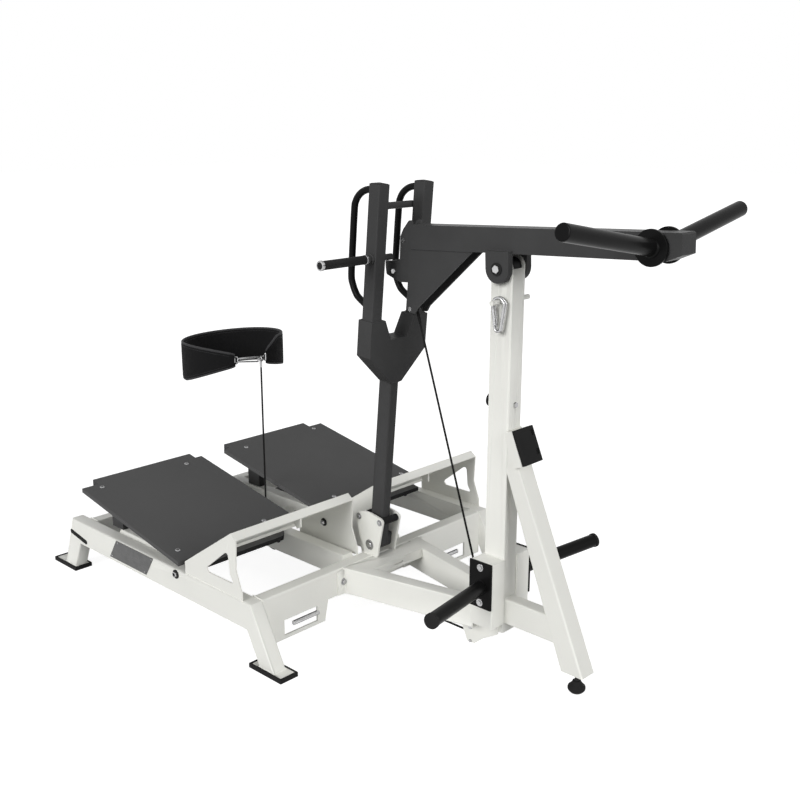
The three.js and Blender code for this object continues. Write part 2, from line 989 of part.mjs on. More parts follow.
add(
  'mast_bumper',
  bar([-mastHalfX - gap, 0, bumperZ], [-mastHalfX - gap - bumperLength, 0, bumperZ], bumperRadius),
  rubber,
);
// The outline of a long ring that hangs on a bar: its top arc is centred a little under the bar's axis.
function ringOutline(centreX, topZ, width, length, steps) {
  const radius = width / 2;
  return [
    ...arc(centreX, topZ - radius, radius, 0, halfTurn, steps),
    ...arc(centreX, topZ - length + radius, radius, halfTurn, 2 * halfTurn, steps),
  ];
}

function ring(centreX, topZ, y0, y1, width, length, band) {
  const outer = ringOutline(centreX, topZ, width, length, snapArcSteps);
  const inner = ringOutline(centreX, topZ - band, width - 2 * band, length - 2 * band, snapArcSteps);
  return slabY(outer, y0, y1).subtract(slabY(inner, y0 - overrun, y1 + overrun));
}

for (const index of [0, 1]) {
  const y0 = -snapFirstY - snapStep * index;
  add(
    `snap_hook_${index + 1}`,
    ring(pegX, pegZ + pegRadius + runningClearance + snapBand, y0 - snapThickness, y0, snapWidth, snapLength,
      snapBand),
    steel,
  );
}

// Foot boards: a sloping black slab on a front axle, resting on two props at the rear

const boardCornerX = -1590;
const boardInnerCornerY = 92;
const boardCornerCut = 73;
const boardLipCut = 69;
const propInset = 56;
const boardOuterCornerY = boardOuterY - boardCornerCut;
const boardLipX = -893;
const boardLipInnerY = 171;
const boardLipOuterY = boardOuterY - boardLipCut;
const boardLipChamfer = 24;
const flangeDepth = 26;
const flangeWall = 5;
const lugWidth = 34;
const lugWall = 9;
const lugDrop = 15;
const boardLugInnerY = innerBeamOuterY + runningClearance;
const boardLugOuterY = railInnerY - runningClearance;
const propRearX = -1490;
const propFrontX = -1415;
const propWidth = 28;
const propOuterY = frameHalfWidth - propInset;
const propInnerY = 111;
const screwRadius = 7;
const screwHeight = 1.5;
const rearScrewX = -1560;
const frontScrewX = -1020;
const rearScrewInnerY = 159;
const rearScrewInset = 71;
const rearScrewOuterY = boardOuterY - rearScrewInset;
const frontScrewInnerY = 186;
const frontScrewInset = 45;
const frontScrewOuterY = boardOuterY - frontScrewInset;
const screwSites = [
  [rearScrewX, rearScrewInnerY],
  [rearScrewX, rearScrewOuterY],
  [frontScrewX, frontScrewOuterY],
  [frontScrewX, frontScrewInnerY],
];

function boardTop(x) {
  return boardEdgeTopZ - boardSlope * (x - boardEdgeX);
}

const boardDepthZ = boardThickness * Math.sqrt(1 + boardSlope * boardSlope);

function boardPart(rearX, frontX, y0, y1) {
  return slabY(
    [
      [rearX, boardTop(rearX)],
      [frontX, boardTop(frontX)],
      [frontX, boardTop(frontX) - boardDepthZ],
      [rearX, boardTop(rearX) - boardDepthZ],
    ],
    y0,
    y1,
  );
}

for (const [name, side] of sides) {
  const pieces = [
    boardPart(boardCornerX, boardEdgeX, side * boardInnerY, side * boardOuterY),
    boardPart(boardRearX, boardEdgeX, side * boardInnerCornerY, side * boardOuterCornerY),
    slabZ(
      mirrored(
        [
          [boardEdgeX - overrun, boardLipInnerY],
          [boardLipX - boardLipChamfer, boardLipInnerY],
          [boardLipX, boardLipInnerY + boardLipChamfer],
          [boardLipX, boardLipOuterY],
          [boardEdgeX - overrun, boardLipOuterY],
        ],
        side,
      ),
      railBottomZ,
      railTopZ + railHeight,
    ).intersect(boardPart(boardEdgeX - overrun, boardLipX, side * boardLipInnerY, side * boardLipOuterY)),
    block(
      boardRearX,
      boardRearX + flangeWall,
      side * boardInnerCornerY,
      side * boardOuterCornerY,
      boardTop(boardRearX) - boardDepthZ - flangeDepth,
      boardTop(boardRearX) - boardDepthZ / 2,
    ),
  ];
  const lugTopZ = boardTop(axleX) - boardDepthZ / 2;
  for (const lugY of [boardLugInnerY, boardLugOuterY - lugWall]) {
    pieces.push(
      block(
        axleX - lugWidth / 2,
        axleX + lugWidth / 2,
        side * lugY,
        side * (lugY + lugWall),
        axleZ - lugDrop,
        lugTopZ,
      ),
    );
  }
  for (const [screwX, screwY] of screwSites) {
    pieces.push(
      bar(
        [screwX, side * screwY, boardTop(screwX) - boardThickness / 2],
        [screwX + boardSlope * screwHeight, side * screwY, boardTop(screwX) + screwHeight],
        screwRadius,
        cordSides,
      ),
    );
  }
  for (const [propY, seatZ] of [
    [propInnerY, innerBeamTopZ],
    [propOuterY - propWidth, ledgeTopZ],
  ]) {
    pieces.push(
      slabY(
        [
          [propRearX, seatZ + gap],
          [propFrontX, seatZ + gap],
          [propFrontX, boardTop(propFrontX) - boardDepthZ / 2],
          [propRearX, boardTop(propRearX) - boardDepthZ / 2],
        ],
        side * propY,
        side * (propY + propWidth),
      ),
    );
  }
  const bore = pinY(
    axleX,
    axleZ,
    side * (boardLugInnerY - overrun),
    side * (boardLugOuterY + overrun),
    axleRadius + gap,
  );
  add(`board_${name}`, union(...pieces).subtract(bore), boardSkin);

  const washerRadius = 17;
  const washerThickness = 3;
  const headRadius = 11;
  const headThickness = 7;
  const innerEndY = innerBeamInnerY - gap;
  const outerEndY = frameHalfWidth + gap;
  add(
    `board_axle_${name}`,
    union(
      pinY(axleX, axleZ, side * (innerEndY - washerThickness), side * (outerEndY + washerThickness), axleRadius),
      pinY(axleX, axleZ, side * (innerEndY - washerThickness), side * innerEndY, washerRadius),
      pinY(axleX, axleZ, side * outerEndY, side * (outerEndY + washerThickness), washerRadius),
      pinY(axleX, axleZ, side * (innerEndY - washerThickness - headThickness),
        side * (innerEndY - washerThickness), headRadius, hexSides),
      pinY(axleX, axleZ, side * (outerEndY + washerThickness),
        side * (outerEndY + washerThickness + headThickness), headRadius, hexSides),
    ),
    steel,
  );
}

// Toe plates: a sloping sheet with bent-down edges, a windowed outer end and a bolted inner end

const toeFrontLowX = -925;
const toeLowZ = 273;
const toeRidgeX = -652;
const toeRidgeZ = 456;
const toeSheet = 5;
const toeFlangeX = -626;
const toeFlangeZ = 436;
const toeInnerY = 81;
const toeEndX = -603;
const toeEndZ = 254;
const toeWaistX = -632;
const toeWaistZ = 330;
const toeWindowShares = [
  [0.404, 0.262],
  [0.412, 0.292],
  [0.708, 0.625],
  [0.745, 0.658],
  [0.772, 0.66],
  [0.789, 0.632],
  [0.801, 0.486],
  [0.811, 0.338],
  [0.855, 0.238],
  [0.842, 0.212],
  [0.435, 0.212],
];
const toeBoltX = -782;
const toeBoltZ = 308;
const toeWasherRadius = 13;
const toeWasherThickness = 2;
const toeBoltRadius = 8;
const toeBoltHeight = 7;
const toeRibInset = 291;
const toeRibY = frameHalfWidth - toeRibInset;
const toeRibFrontX = -622;
const toeRibDepth = 52;
const toeRibHeight = 60;

const toeBaseZ = railTopZ + gap;
const toeRunX = toeEndX - toeFrontLowX;
const toeRiseZ = toeRidgeZ - toeBaseZ;
for (const [name, side] of sides) {
  const endOutline = [
    [toeFrontLowX, toeBaseZ],
    [toeEndX, toeBaseZ],
    [toeEndX, toeEndZ],
    [toeWaistX, toeWaistZ],
    [toeFlangeX, toeFlangeZ],
    [toeRidgeX, toeRidgeZ],
    [toeFrontLowX, toeLowZ],
  ];
  const windowOutline = toeWindowShares.map(([a, b]) => [
    toeFrontLowX + toeRunX * a,
    toeBaseZ + toeRiseZ * b,
  ]);
  const sheetWay = new THREE.Vector2(toeRidgeX - toeFrontLowX, toeRidgeZ - toeLowZ).normalize();
  const flangeWay = new THREE.Vector2(toeFlangeX - toeRidgeX, toeFlangeZ - toeRidgeZ).normalize();
  const inside = new THREE.Vector2(sheetWay.y, -sheetWay.x).multiplyScalar(toeSheet);
  const under = new THREE.Vector2(flangeWay.y, -flangeWay.x).multiplyScalar(toeSheet);
  const bend = toeSheet * Math.SQRT1_2;
  const toeInnerFaceY = toeInnerY + toeSheet;
  const washerFaceY = toeInnerFaceY + toeWasherThickness;
  const sheet = slabY(
    [
      [toeFrontLowX, toeLowZ],
      [toeRidgeX, toeRidgeZ],
      [toeFlangeX, toeFlangeZ],
      [toeFlangeX + under.x, toeFlangeZ + under.y],
      [toeRidgeX + inside.x / 2 + under.x / 2, toeRidgeZ - 2 * bend],
      [toeFrontLowX + inside.x, toeLowZ + inside.y],
    ],
    side * toeInnerY,
    side * frameHalfWidth,
  );
  const pieces = [
    sheet,
    slabY(endOutline, side * (frameHalfWidth - toeSheet), side * frameHalfWidth, [windowOutline]),
    slabY(endOutline, side * toeInnerY, side * (toeInnerY + toeSheet)),
    block(
      toeFrontLowX,
      toeFrontLowX + toeSheet,
      side * toeInnerY,
      side * frameHalfWidth,
      boardTop(toeFrontLowX) + gap,
      toeLowZ - toeSheet / 2,
    ),
    pinY(toeBoltX, toeBoltZ, side * (toeInnerY + toeSheet / 2), side * washerFaceY, toeWasherRadius),
    pinY(toeBoltX, toeBoltZ, side * toeInnerFaceY, side * (washerFaceY + toeBoltHeight), toeBoltRadius),
    slabY(
      [
        [toeRibFrontX - toeRibDepth, toeRidgeZ - toeSheet - toeRibHeight / 2],
        [toeRibFrontX - toeRibDepth / 2, toeRidgeZ - toeSheet - toeRibHeight],
        [toeRibFrontX - toeSheet, toeFlangeZ - toeSheet - toeRibHeight / 2],
        [toeRibFrontX - toeSheet, toeFlangeZ - toeSheet],
        [toeRidgeX, toeRidgeZ - toeSheet],
      ],
      side * toeRibY,
      side * (toeRibY + toeSheet),
    ),
  ];
  add(`toe_plate_${name}`, union(...pieces), white);
}

// Base of the rack fork: two white cheeks on the front cross beam, with pivot, stops and a roller

const baseInnerY = 40;
const baseThickness = 8;
const baseReach = 144;
const baseShares = [
  [-0.493, 0.72],
  [-0.345, 0.83],
  [-0.171, 0.872],
  [0.03, 0.868],
  [0.235, 0.835],
  [0.4, 0.805],
  [0.482, 0.74],
  [0.299, -0.111],
];
const baseFootRearShare = -0.299;
const baseFootFrontShare = 0.285;
const baseFootZ = railTopZ + gap;
const forkPinRadius = 9;
const frontRollerRadius = 13;
const rearRollerRadius = 10;
const rollerBoltRadius = 5;
const rearRollerX = -629.3;
const rearRollerZ = 363;
const frontRollerX = -523;
const frontRollerZ = 363;
const baseOuterY = baseInnerY + baseThickness;
const baseOutline = [
  [forkPivotX + baseReach * baseFootRearShare, baseFootZ],
  ...baseShares.map(([a, b]) => [forkPivotX + baseReach * a, forkPivotZ + baseReach * b]),
  [forkPivotX + baseReach * baseFootFrontShare, baseFootZ],
];

for (const [name, side] of sides) {
  let cheek = slabY(baseOutline, side * baseInnerY, side * baseOuterY);
  for (const [holeX, holeZ, holeRadius] of [
    [forkPivotX, forkPivotZ, forkPinRadius],
    [rearRollerX, rearRollerZ, rollerBoltRadius],
    [frontRollerX, frontRollerZ, rollerBoltRadius],
  ]) {
    cheek = cheek.subtract(
      pinY(holeX, holeZ, side * (baseInnerY - overrun), side * (baseOuterY + overrun), holeRadius + gap),
    );
  }
  add(`fork_base_${name}`, cheek, white);
}

const forkPinHeadY = baseOuterY + gap;
const forkPinEndY = forkPinHeadY + boltHeadThickness;
add(
  'fork_pin',
  union(
    pinY(forkPivotX, forkPivotZ, -forkPinEndY, forkPinEndY, forkPinRadius),
    pinY(forkPivotX, forkPivotZ, -forkPinEndY, -forkPinHeadY, pinHeadRadius, hexSides),
    pinY(forkPivotX, forkPivotZ, forkPinHeadY, forkPinEndY, pinHeadRadius, hexSides),
  ),
  steel,
);
const rollerPinY = baseOuterY + boltHeadThickness;
for (const [name, rollerX, rollerZ, rollerRadius] of [
  ['rear', rearRollerX, rearRollerZ, rearRollerRadius],
  ['front', frontRollerX, frontRollerZ, frontRollerRadius],
]) {
  add(
    `stop_roller_${name}`,
    union(
      pinY(rollerX, rollerZ, -baseInnerY + gap, baseInnerY - gap, rollerRadius),
      pinY(rollerX, rollerZ, -rollerPinY, rollerPinY, rollerBoltRadius),
    ),
    rubber,
  );
}

// A piece drawn on an upright fork, leaned over about the fork's pivot.
function leaned(solid) {
  const geometry = geometryOf(solid);
  geometry.translate(-forkPivotX, 0, -forkPivotZ);
  geometry.rotateY(forkLean);
  geometry.translate(forkPivotX, 0, forkPivotZ);
  return solidOf(geometry);
}

// Rack fork, drawn upright: a stem, a yoke box, a rung, and two uprights with a handle and a grip bar each

const stemHalfX = 30;
const stemHalfY = 20;
const stemTop = 794;
const stemFoot = 36;
const stemHubRadius = 26;
const uprightRearX = -20;
const uprightFrontX = 30;
const uprightInnerY = 83;
const uprightWidth = 50;
const uprightFoot = 742;
const yokeWall = 6;
const yokeHalfX = 36.6;
const yokeTop = 866;
const yokeCrotch = 794;
const yokeCorner = 739;
const yokeFoot = 632;
const yokeNotchTopY = 72;
const yokeNotchFootY = 40;
const yokeBackCut = 14;
const uprightOuterY = uprightInnerY + uprightWidth;
const yokeOuterY = uprightOuterY + gap + yokeWall;

function forkBlock(u0, u1, ya, yb, w0, w1) {
  return block(forkPivotX + u0, forkPivotX + u1, ya, yb, forkPivotZ + w0, forkPivotZ + w1);
}

const forkBore = pinY(forkPivotX, forkPivotZ, -baseOuterY, baseOuterY, forkPinRadius + gap);
const stem = union(
  forkBlock(-stemHalfX, stemHalfX, -stemHalfY, stemHalfY, 0, stemTop),
  pinY(forkPivotX, forkPivotZ, -baseInnerY + gap, baseInnerY - gap, stemHubRadius),
  forkBlock(-stemHubRadius, stemHubRadius, -baseInnerY + gap, baseInnerY - gap, 0, stemFoot),
);
add('fork_stem', leaned(stem.subtract(forkBore)), black);

let yoke = slabX(
  [
    [-stemHalfY - yokeWall, forkPivotZ + yokeFoot],
    [stemHalfY + yokeWall, forkPivotZ + yokeFoot],
    [yokeOuterY, forkPivotZ + yokeCorner],
    [yokeOuterY, forkPivotZ + yokeTop],
    [yokeNotchTopY, forkPivotZ + yokeTop],
    [yokeNotchFootY, forkPivotZ + yokeCrotch],
    [-yokeNotchFootY, forkPivotZ + yokeCrotch],
    [-yokeNotchTopY, forkPivotZ + yokeTop],
    [-yokeOuterY, forkPivotZ + yokeTop],
    [-yokeOuterY, forkPivotZ + yokeCorner],
  ],
  forkPivotX - yokeHalfX + yokeBackCut - yokeWall,
  forkPivotX + yokeHalfX,
);
yoke = yoke.subtract(
  forkBlock(
    -stemHalfX - gap,
    stemHalfX + gap,
    -stemHalfY - gap,
    stemHalfY + gap,
    yokeFoot - overrun,
    stemTop + overrun,
  ),
);
for (const [name, side] of sides) {
  yoke = yoke.subtract(
    forkBlock(
      uprightRearX - gap,
      uprightFrontX + gap,
      side * (uprightInnerY - gap),
      side * (uprightOuterY + gap),
      uprightFoot - gap,
      yokeTop + overrun,
    ),
  );
}
add('fork_yoke', leaned(yoke), black);

const gripBarU = 9;
const gripBarW = 1079;
const gripBarRadius = 11;
const cheekPlate = 8;
const gussetInset = 3;
const gussetOuterY = leverHalfWidth - gussetInset;
const gussetInnerY = gussetOuterY - cheekPlate;
const hookOuterY = gussetInnerY - gap;
const hookInnerY = hookOuterY - cheekPlate;
const hookBoltRise = boltHeadThickness / 2;
const gripBarClearance = 1.7;
const gripBarInnerY = gussetOuterY + gripBarClearance;
const gripBarOuterY = 350;
const gripRadius = 15;
const gripStartY = 152;
const gripEndY = 356;
const gripCapRadius = 17;
const gripCapLength = 6;
const collarRadius = 18;
const collarThickness = 8;
const rungRadius = 12;
const rungDrop = 83;
const rungW = forkLength - rungDrop;
const rungHalfLength = 98;
const handleRadius = 12;
const handleY = 108;
const handleSteps = 26;
const handleSides = 8;
const handleReach = 108;
const handleTopDrop = 22;
const handleHeight = 399;
const handleFootW = forkLength - handleTopDrop - handleHeight;
const handleShares = [
  [0.093, 1],
  [0.402, 0.99],
  [0.632, 0.966],
  [0.823, 0.924],
  [0.939, 0.871],
  [0.98, 0.8],
  [0.981, 0.457],
  [0.97, 0.241],
  [0.885, 0.165],
  [0.735, 0.1],
  [0.572, 0.062],
  [0.093, 0],
];

for (const [name, side] of sides) {
  const upright = forkBlock(
    uprightRearX,
    uprightFrontX,
    side * uprightInnerY,
    side * uprightOuterY,
    uprightFoot,
    forkLength,
  );
  const gripX = forkPivotX + gripBarU;
  const gripZ = forkPivotZ + gripBarW;
  const barSolid = union(
    pinY(gripX, gripZ, side * gripBarInnerY, side * gripBarOuterY, gripBarRadius),
    pinY(
      gripX,
      gripZ,
      side * (uprightOuterY - overrun),
      side * (uprightOuterY + collarThickness),
      collarRadius,
    ),
  );
  const sleeve = union(
    pinY(gripX, gripZ, side * gripStartY, side * gripEndY, gripRadius),
    pinY(gripX, gripZ, side * gripEndY, side * (gripEndY + gripCapLength), gripCapRadius),
  );
  const sleeveBore = pinY(
    gripX,
    gripZ,
    side * (gripStartY - overrun),
    side * (gripBarOuterY + gap),
    gripBarRadius + gap,
  );
  add(`grip_${name}`, leaned(sleeve.subtract(sleeveBore)), rubber);

  const handle = sweep(
    handleShares.map(([a, b]) => [
      forkPivotX - handleReach * a,
      side * handleY,
      forkPivotZ + handleFootW + handleHeight * b,
    ]),
    handleRadius,
    handleSteps,
    handleSides,
  );
  add(`fork_upright_${name}`, leaned(union(upright, barSolid, handle)), black);
}
const rungX = forkPivotX + uprightRearX - gap - rungRadius;
add(
  'fork_rung',
  leaned(pinY(rungX, forkPivotZ + rungW, -rungHalfLength, rungHalfLength, rungRadius)),
  black,
);

// Lever: the beam with its two lugs, drawn level and then tilted about the pivot

// A piece drawn on a level lever, tilted up towards the weight horns.
function tilted(solid) {
  const geometry = geometryOf(solid);
  geometry.translate(0, 0, -pivotZ);
  geometry.rotateY(-leverTilt);
  geometry.translate(0, 0, pivotZ);
  return solidOf(geometry);
}

const lugHalfWidth = 45;
const lugReach = 8;
const lugArcSteps = 12;
const beamBottomZ = pivotZ + leverBottomRise;
const beamTopZ = beamBottomZ + leverDepth;
const noseLength = 50;
const noseRise = 19;
const noseDrop = 5;

const lugOutline = [
  ...arc(0, pivotZ, lugHalfWidth, -halfTurn, 0, lugArcSteps),
  [lugHalfWidth, beamBottomZ + lugReach],
  [-lugHalfWidth, beamBottomZ + lugReach],
];
let beam = slabY(
  [
    [-leverRearReach, beamBottomZ],
    [leverFrontReach, beamBottomZ],
    [leverFrontReach + noseLength, beamBottomZ + noseRise],
    [leverFrontReach + noseLength, beamTopZ - noseDrop],
    [leverFrontReach + noseLength - noseDrop, beamTopZ],
    [-leverRearReach, beamTopZ],
  ],
  -leverHalfWidth,
  leverHalfWidth,
);
for (const [, side] of sides) {
  const lug = slabY(lugOutline, side * lugInnerY, side * lugOuterY);
  const bore = pinY(0, pivotZ, side * (lugInnerY - overrun), side * (lugOuterY + overrun), pivotPinRadius + gap);
  beam = beam.add(lug.subtract(bore));
}

// Gusset under the rear of the beam: two plates with a bolt across for the cable's eye

const restTurn = new THREE.Vector3(cableTipX, 0, cableTipZ - pivotZ).applyAxisAngle(
  new THREE.Vector3(0, 1, 0),
  leverTilt,
);
const tipU = restTurn.x;
const tipW = pivotZ + restTurn.z;
const gussetRearU = -leverRearReach + overrun;
const gussetHeelShare = 1.026;
const gussetHeelDrop = 11;
const gussetFrontShare = 0.291;
const gussetTipRadius = 14;
const gussetTipForward = 34;
const gussetOutline = [
  [gussetRearU, beamBottomZ + overrun],
  [-leverRearReach * gussetFrontShare, beamBottomZ + overrun],
  [tipU + gussetTipForward, tipW + overrun],
  [tipU + gussetTipForward - gussetTipRadius, tipW - gussetTipRadius],
  [tipU, tipW - gussetTipRadius],
  [tipU - gussetTipRadius, tipW + gussetTipRadius],
  [-leverRearReach * gussetHeelShare, beamBottomZ - gussetHeelDrop],
];
const eyeBoltEndY = gussetOuterY + boltHeadThickness / 2;
const eyeBolt = pinY(tipU, tipW, -eyeBoltEndY, eyeBoltEndY, eyeBoltRadius);
for (const [, side] of sides) {
  beam = beam.add(slabY(gussetOutline, side * gussetInnerY, side * gussetOuterY));
  beam = beam.add(pinY(tipU, tipW, side * gussetInnerY, side * eyeBoltEndY, boltHeadRadius, hexSides));
}
add('lever_beam', tilted(beam.add(eyeBolt)), black);

// Hook cheeks behind the beam's rear end, between the gusset's plates, whose ledges reach under the grip bars

const hookShares = [
  [-1.0337, 0.3667],
  [-1.1085, 0.2861],
  [-1.1429, 0.2247],
  [-1.1636, 0.0089],
  [-1.3399, 0.0028],
  [-1.3398, -0.0498],
  [-1.3325, -0.1185],
  [-1.2422, -0.1543],
  [-1.1647, -0.1816],
];
const hookTopShare = 0.3575;
const hookFootShare = -0.1784;
const hookBoltShares = [
  [-1.1052, 0.1888],
  [-1.2444, -0.0885],
];
const hookFrontU = -leverRearReach - gap;

// A point of the hook cheek on a level lever, from its shares of the beam's rear reach.
function hookPoint([a, b]) {
  return [leverRearReach * a, pivotZ + leverRearReach * b];
}

const hookOutline = [
  [hookFrontU, pivotZ + leverRearReach * hookTopShare],
  ...hookShares.map(hookPoint),
  [hookFrontU, pivotZ + leverRearReach * hookFootShare],
];
for (const [name, side] of sides) {
  let hook = slabY(hookOutline, side * hookInnerY, side * hookOuterY);
  for (const shares of hookBoltShares) {
    const [boltX, boltZ] = hookPoint(shares);
    const boltInnerY = hookOuterY - cheekPlate / 2;
    hook = hook.add(
      pinY(boltX, boltZ, side * boltInnerY, side * (hookOuterY + hookBoltRise), boltHeadRadius, hexSides),
    );
  }
  add(`hook_cheek_${name}`, tilted(hook), black);
}

// Weight horns of the lever: a hub and a flange disc against the beam, and a bar that rises outwards

const hornRadius = 24;
const hornRootX = 522.5;
const hornRootZ = 1451;
const hornEndX = 521.7;
const hornEndY = 465;
const hornEndZ = 1526;
const hubRadius = 34;
const hubLength = 5;
const hornDiscRadius = 52;
const hornDiscThickness = 9;
const hubEndY = leverHalfWidth + gap + hubLength;
for (const [name, side] of sides) {
  add(
    `lever_horn_${name}`,
    union(
      pinY(hornRootX, hornRootZ, side * (leverHalfWidth + gap), side * (hubEndY + overrun), hubRadius),
      pinY(hornRootX, hornRootZ, side * hubEndY, side * (hubEndY + hornDiscThickness), hornDiscRadius),
      bar(
        [hornRootX, side * hubEndY, hornRootZ],
        [hornEndX, side * hornEndY, hornEndZ],
        hornRadius,
      ),
    ),
    black,
  );
}

// Hip belt: a curved band, lower on the near side, whose ends taper to the snap hooks

const beltCentreX = -1379;
const beltCentreY = -30;
const beltRadius = 204;
const beltThickness = 9;
const beltHeight = 140;
const beltSwell = 14;
const beltSwellAngle = 250;
const beltTopZ = 936.4;
const beltRiseX = 0.079;
const beltRiseY = 0.022;
const beltTipZ = 877;
const beltTipHeight = 55;
const beltFarAngle = 2;
const beltNearAngle = 326;
const beltFarTopTaper = 24;
const beltFarLowTaper = 60;
const beltNearTaper = 72;
const beltTaperPower = 1.3;
const beltSteps = 36;

// How far a taper has opened, from 0 at a tip to 1 at its width.
function eased(distance, width) {
  const share = THREE.MathUtils.clamp(distance / width, 0, 1);
  return 1 - (1 - share) ** beltTaperPower;
}

// The band's low and high edges at an angle round it.
function beltEdges(degrees) {
  const angle = THREE.MathUtils.degToRad(degrees);
  const top = beltTopZ + beltRadius * (beltRiseX * Math.cos(angle) + beltRiseY * Math.sin(angle));
  const swell = (1 + Math.cos(THREE.MathUtils.degToRad(degrees - beltSwellAngle))) / 2;
  const fullLow = top - beltHeight - beltSwell * swell;
  const fromNear = eased(beltNearAngle - degrees, beltNearTaper);
  const topShare = fromNear * eased(degrees - beltFarAngle, beltFarTopTaper);
  const lowShare = fromNear * eased(degrees - beltFarAngle, beltFarLowTaper);
  const low = THREE.MathUtils.lerp(beltTipZ - beltTipHeight / 2, fullLow, lowShare);
  const high = THREE.MathUtils.lerp(beltTipZ + beltTipHeight / 2, top, topShare);
  return [angle, low, high];
}

const beltPositions = [];
const beltFaces = [];
const ringCorners = 4;
for (let i = 0; i <= beltSteps; i += 1) {
  const degrees = beltFarAngle + ((beltNearAngle - beltFarAngle) * i) / beltSteps;
  const [angle, low, high] = beltEdges(degrees);
  for (const [radius, z] of [
    [beltRadius, low],
    [beltRadius, high],
    [beltRadius - beltThickness, high],
    [beltRadius - beltThickness, low],
  ]) {
    beltPositions.push(beltCentreX + radius * Math.cos(angle), beltCentreY + radius * Math.sin(angle), z);
  }
}
for (let i = 0; i < beltSteps; i += 1) {
  for (let corner = 0; corner < ringCorners; corner += 1) {
    const a = i * ringCorners + corner;
    const b = i * ringCorners + ((corner + 1) % ringCorners);
    beltFaces.push(a, a + ringCorners, b, b, a + ringCorners, b + ringCorners);
  }
}
const lastRing = beltSteps * ringCorners;
beltFaces.push(0, 1, 2, 0, 2, 3);
beltFaces.push(lastRing, lastRing + 2, lastRing + 1, lastRing, lastRing + 3, lastRing + 2);
const beltGeometry = new THREE.BufferGeometry();
beltGeometry.setAttribute('position', new THREE.Float32BufferAttribute(beltPositions, 3));
beltGeometry.setIndex(beltFaces);
const belt = solidOf(beltGeometry);
add('hip_belt', belt, fabric);

// Snap hooks that join the belt's ends to the cable

const beltHookWidth = 26;
const beltHookBand = 6;
const beltHookThickness = 6;
const beltHookSag = 8;
const beltHookStub = 14;
const nearHookY = 14;
const farHookY = 3;
const beltHookStem = 5;

function beltTip(degrees) {
  const angle = THREE.MathUtils.degToRad(degrees);
  return [beltCentreX + (beltRadius - beltThickness / 2) * Math.cos(angle),
    beltCentreY + (beltRadius - beltThickness / 2) * Math.sin(angle)];
}

for (const [name, degrees, side, startY] of [
  ['near', beltNearAngle, -1, -nearHookY],
  ['far', beltFarAngle, 1, farHookY],
]) {
  const [tipX, tipY] = beltTip(degrees);
  const run = new THREE.Vector3(
    tipX - riserX,
    tipY - startY,
    beltTipZ - riserTopZ - beltHookSag,
  );
  const length = run.length() - beltHookStub;
  const stubEnd = length + beltHookStub + beltHookThickness / 2;
  const flat = ringOutline(0, beltHookBand, beltHookWidth, length + beltHookBand, snapArcSteps);
  const hollow = ringOutline(0, 0, beltHookWidth - 2 * beltHookBand, length - beltHookBand, snapArcSteps);
  const link = union(
    slabY(flat, -beltHookThickness / 2, beltHookThickness / 2).subtract(
      slabY(hollow, -beltHookThickness, beltHookThickness),
    ),
    bar([0, 0, -length + beltHookBand / 2], [0, 0, -stubEnd], beltHookThickness / 2, cordSides),
  );
  const geometry = geometryOf(link);
  const down = new THREE.Vector3(0, 0, -1);
  geometry.applyQuaternion(new THREE.Quaternion().setFromUnitVectors(down, run.normalize()));
  geometry.translate(riserX, startY, riserTopZ + beltHookSag);
  const turn = THREE.MathUtils.degToRad(degrees);
  const clearBelt = belt.translate([side * gap * Math.sin(turn), -side * gap * Math.cos(turn), 0]);
  const cableSpace = bar([riserX, 0, pulleyZ], [riserX, 0, riserTopZ + gap], cableRadius + beltHookStem);
  let hook = solidOf(geometry).subtract(clearBelt);
  if (name === 'far') {
    hook = hook.add(bar([riserX, 0, riserTopZ], [riserX, 0, riserTopZ + beltHookStub], beltHookStem));
  }
  add(`belt_hook_${name}`, hook.subtract(cableSpace), steel);
}

const span = new THREE.Box3().setFromObject(machine);
machine.position.x = -(span.min.x + span.max.x) / 2;

export default machine;
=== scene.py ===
"""Belt squat machine: rounded edges, finishes, fittings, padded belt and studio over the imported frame."""

import math

import bmesh
import bpy
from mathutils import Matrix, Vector


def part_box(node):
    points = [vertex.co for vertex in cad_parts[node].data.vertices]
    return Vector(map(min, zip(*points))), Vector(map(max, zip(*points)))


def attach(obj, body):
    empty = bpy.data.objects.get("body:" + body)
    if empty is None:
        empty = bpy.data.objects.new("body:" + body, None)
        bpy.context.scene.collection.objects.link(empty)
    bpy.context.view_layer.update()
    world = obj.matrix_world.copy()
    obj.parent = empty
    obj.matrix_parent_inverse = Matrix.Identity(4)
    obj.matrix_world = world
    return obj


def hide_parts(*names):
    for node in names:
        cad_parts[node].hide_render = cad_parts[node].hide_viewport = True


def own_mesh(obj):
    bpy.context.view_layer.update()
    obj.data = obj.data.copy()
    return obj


bl_info = {
    "name": "Belt squat machine",
    "version": (1, 0, 0),
    "blender": (4, 5, 0),
    "location": "3D View > Sidebar > Squat",
    "description": "Dresses the frame of a belt squat machine and sets it in a studio",
    "category": "Object",
}

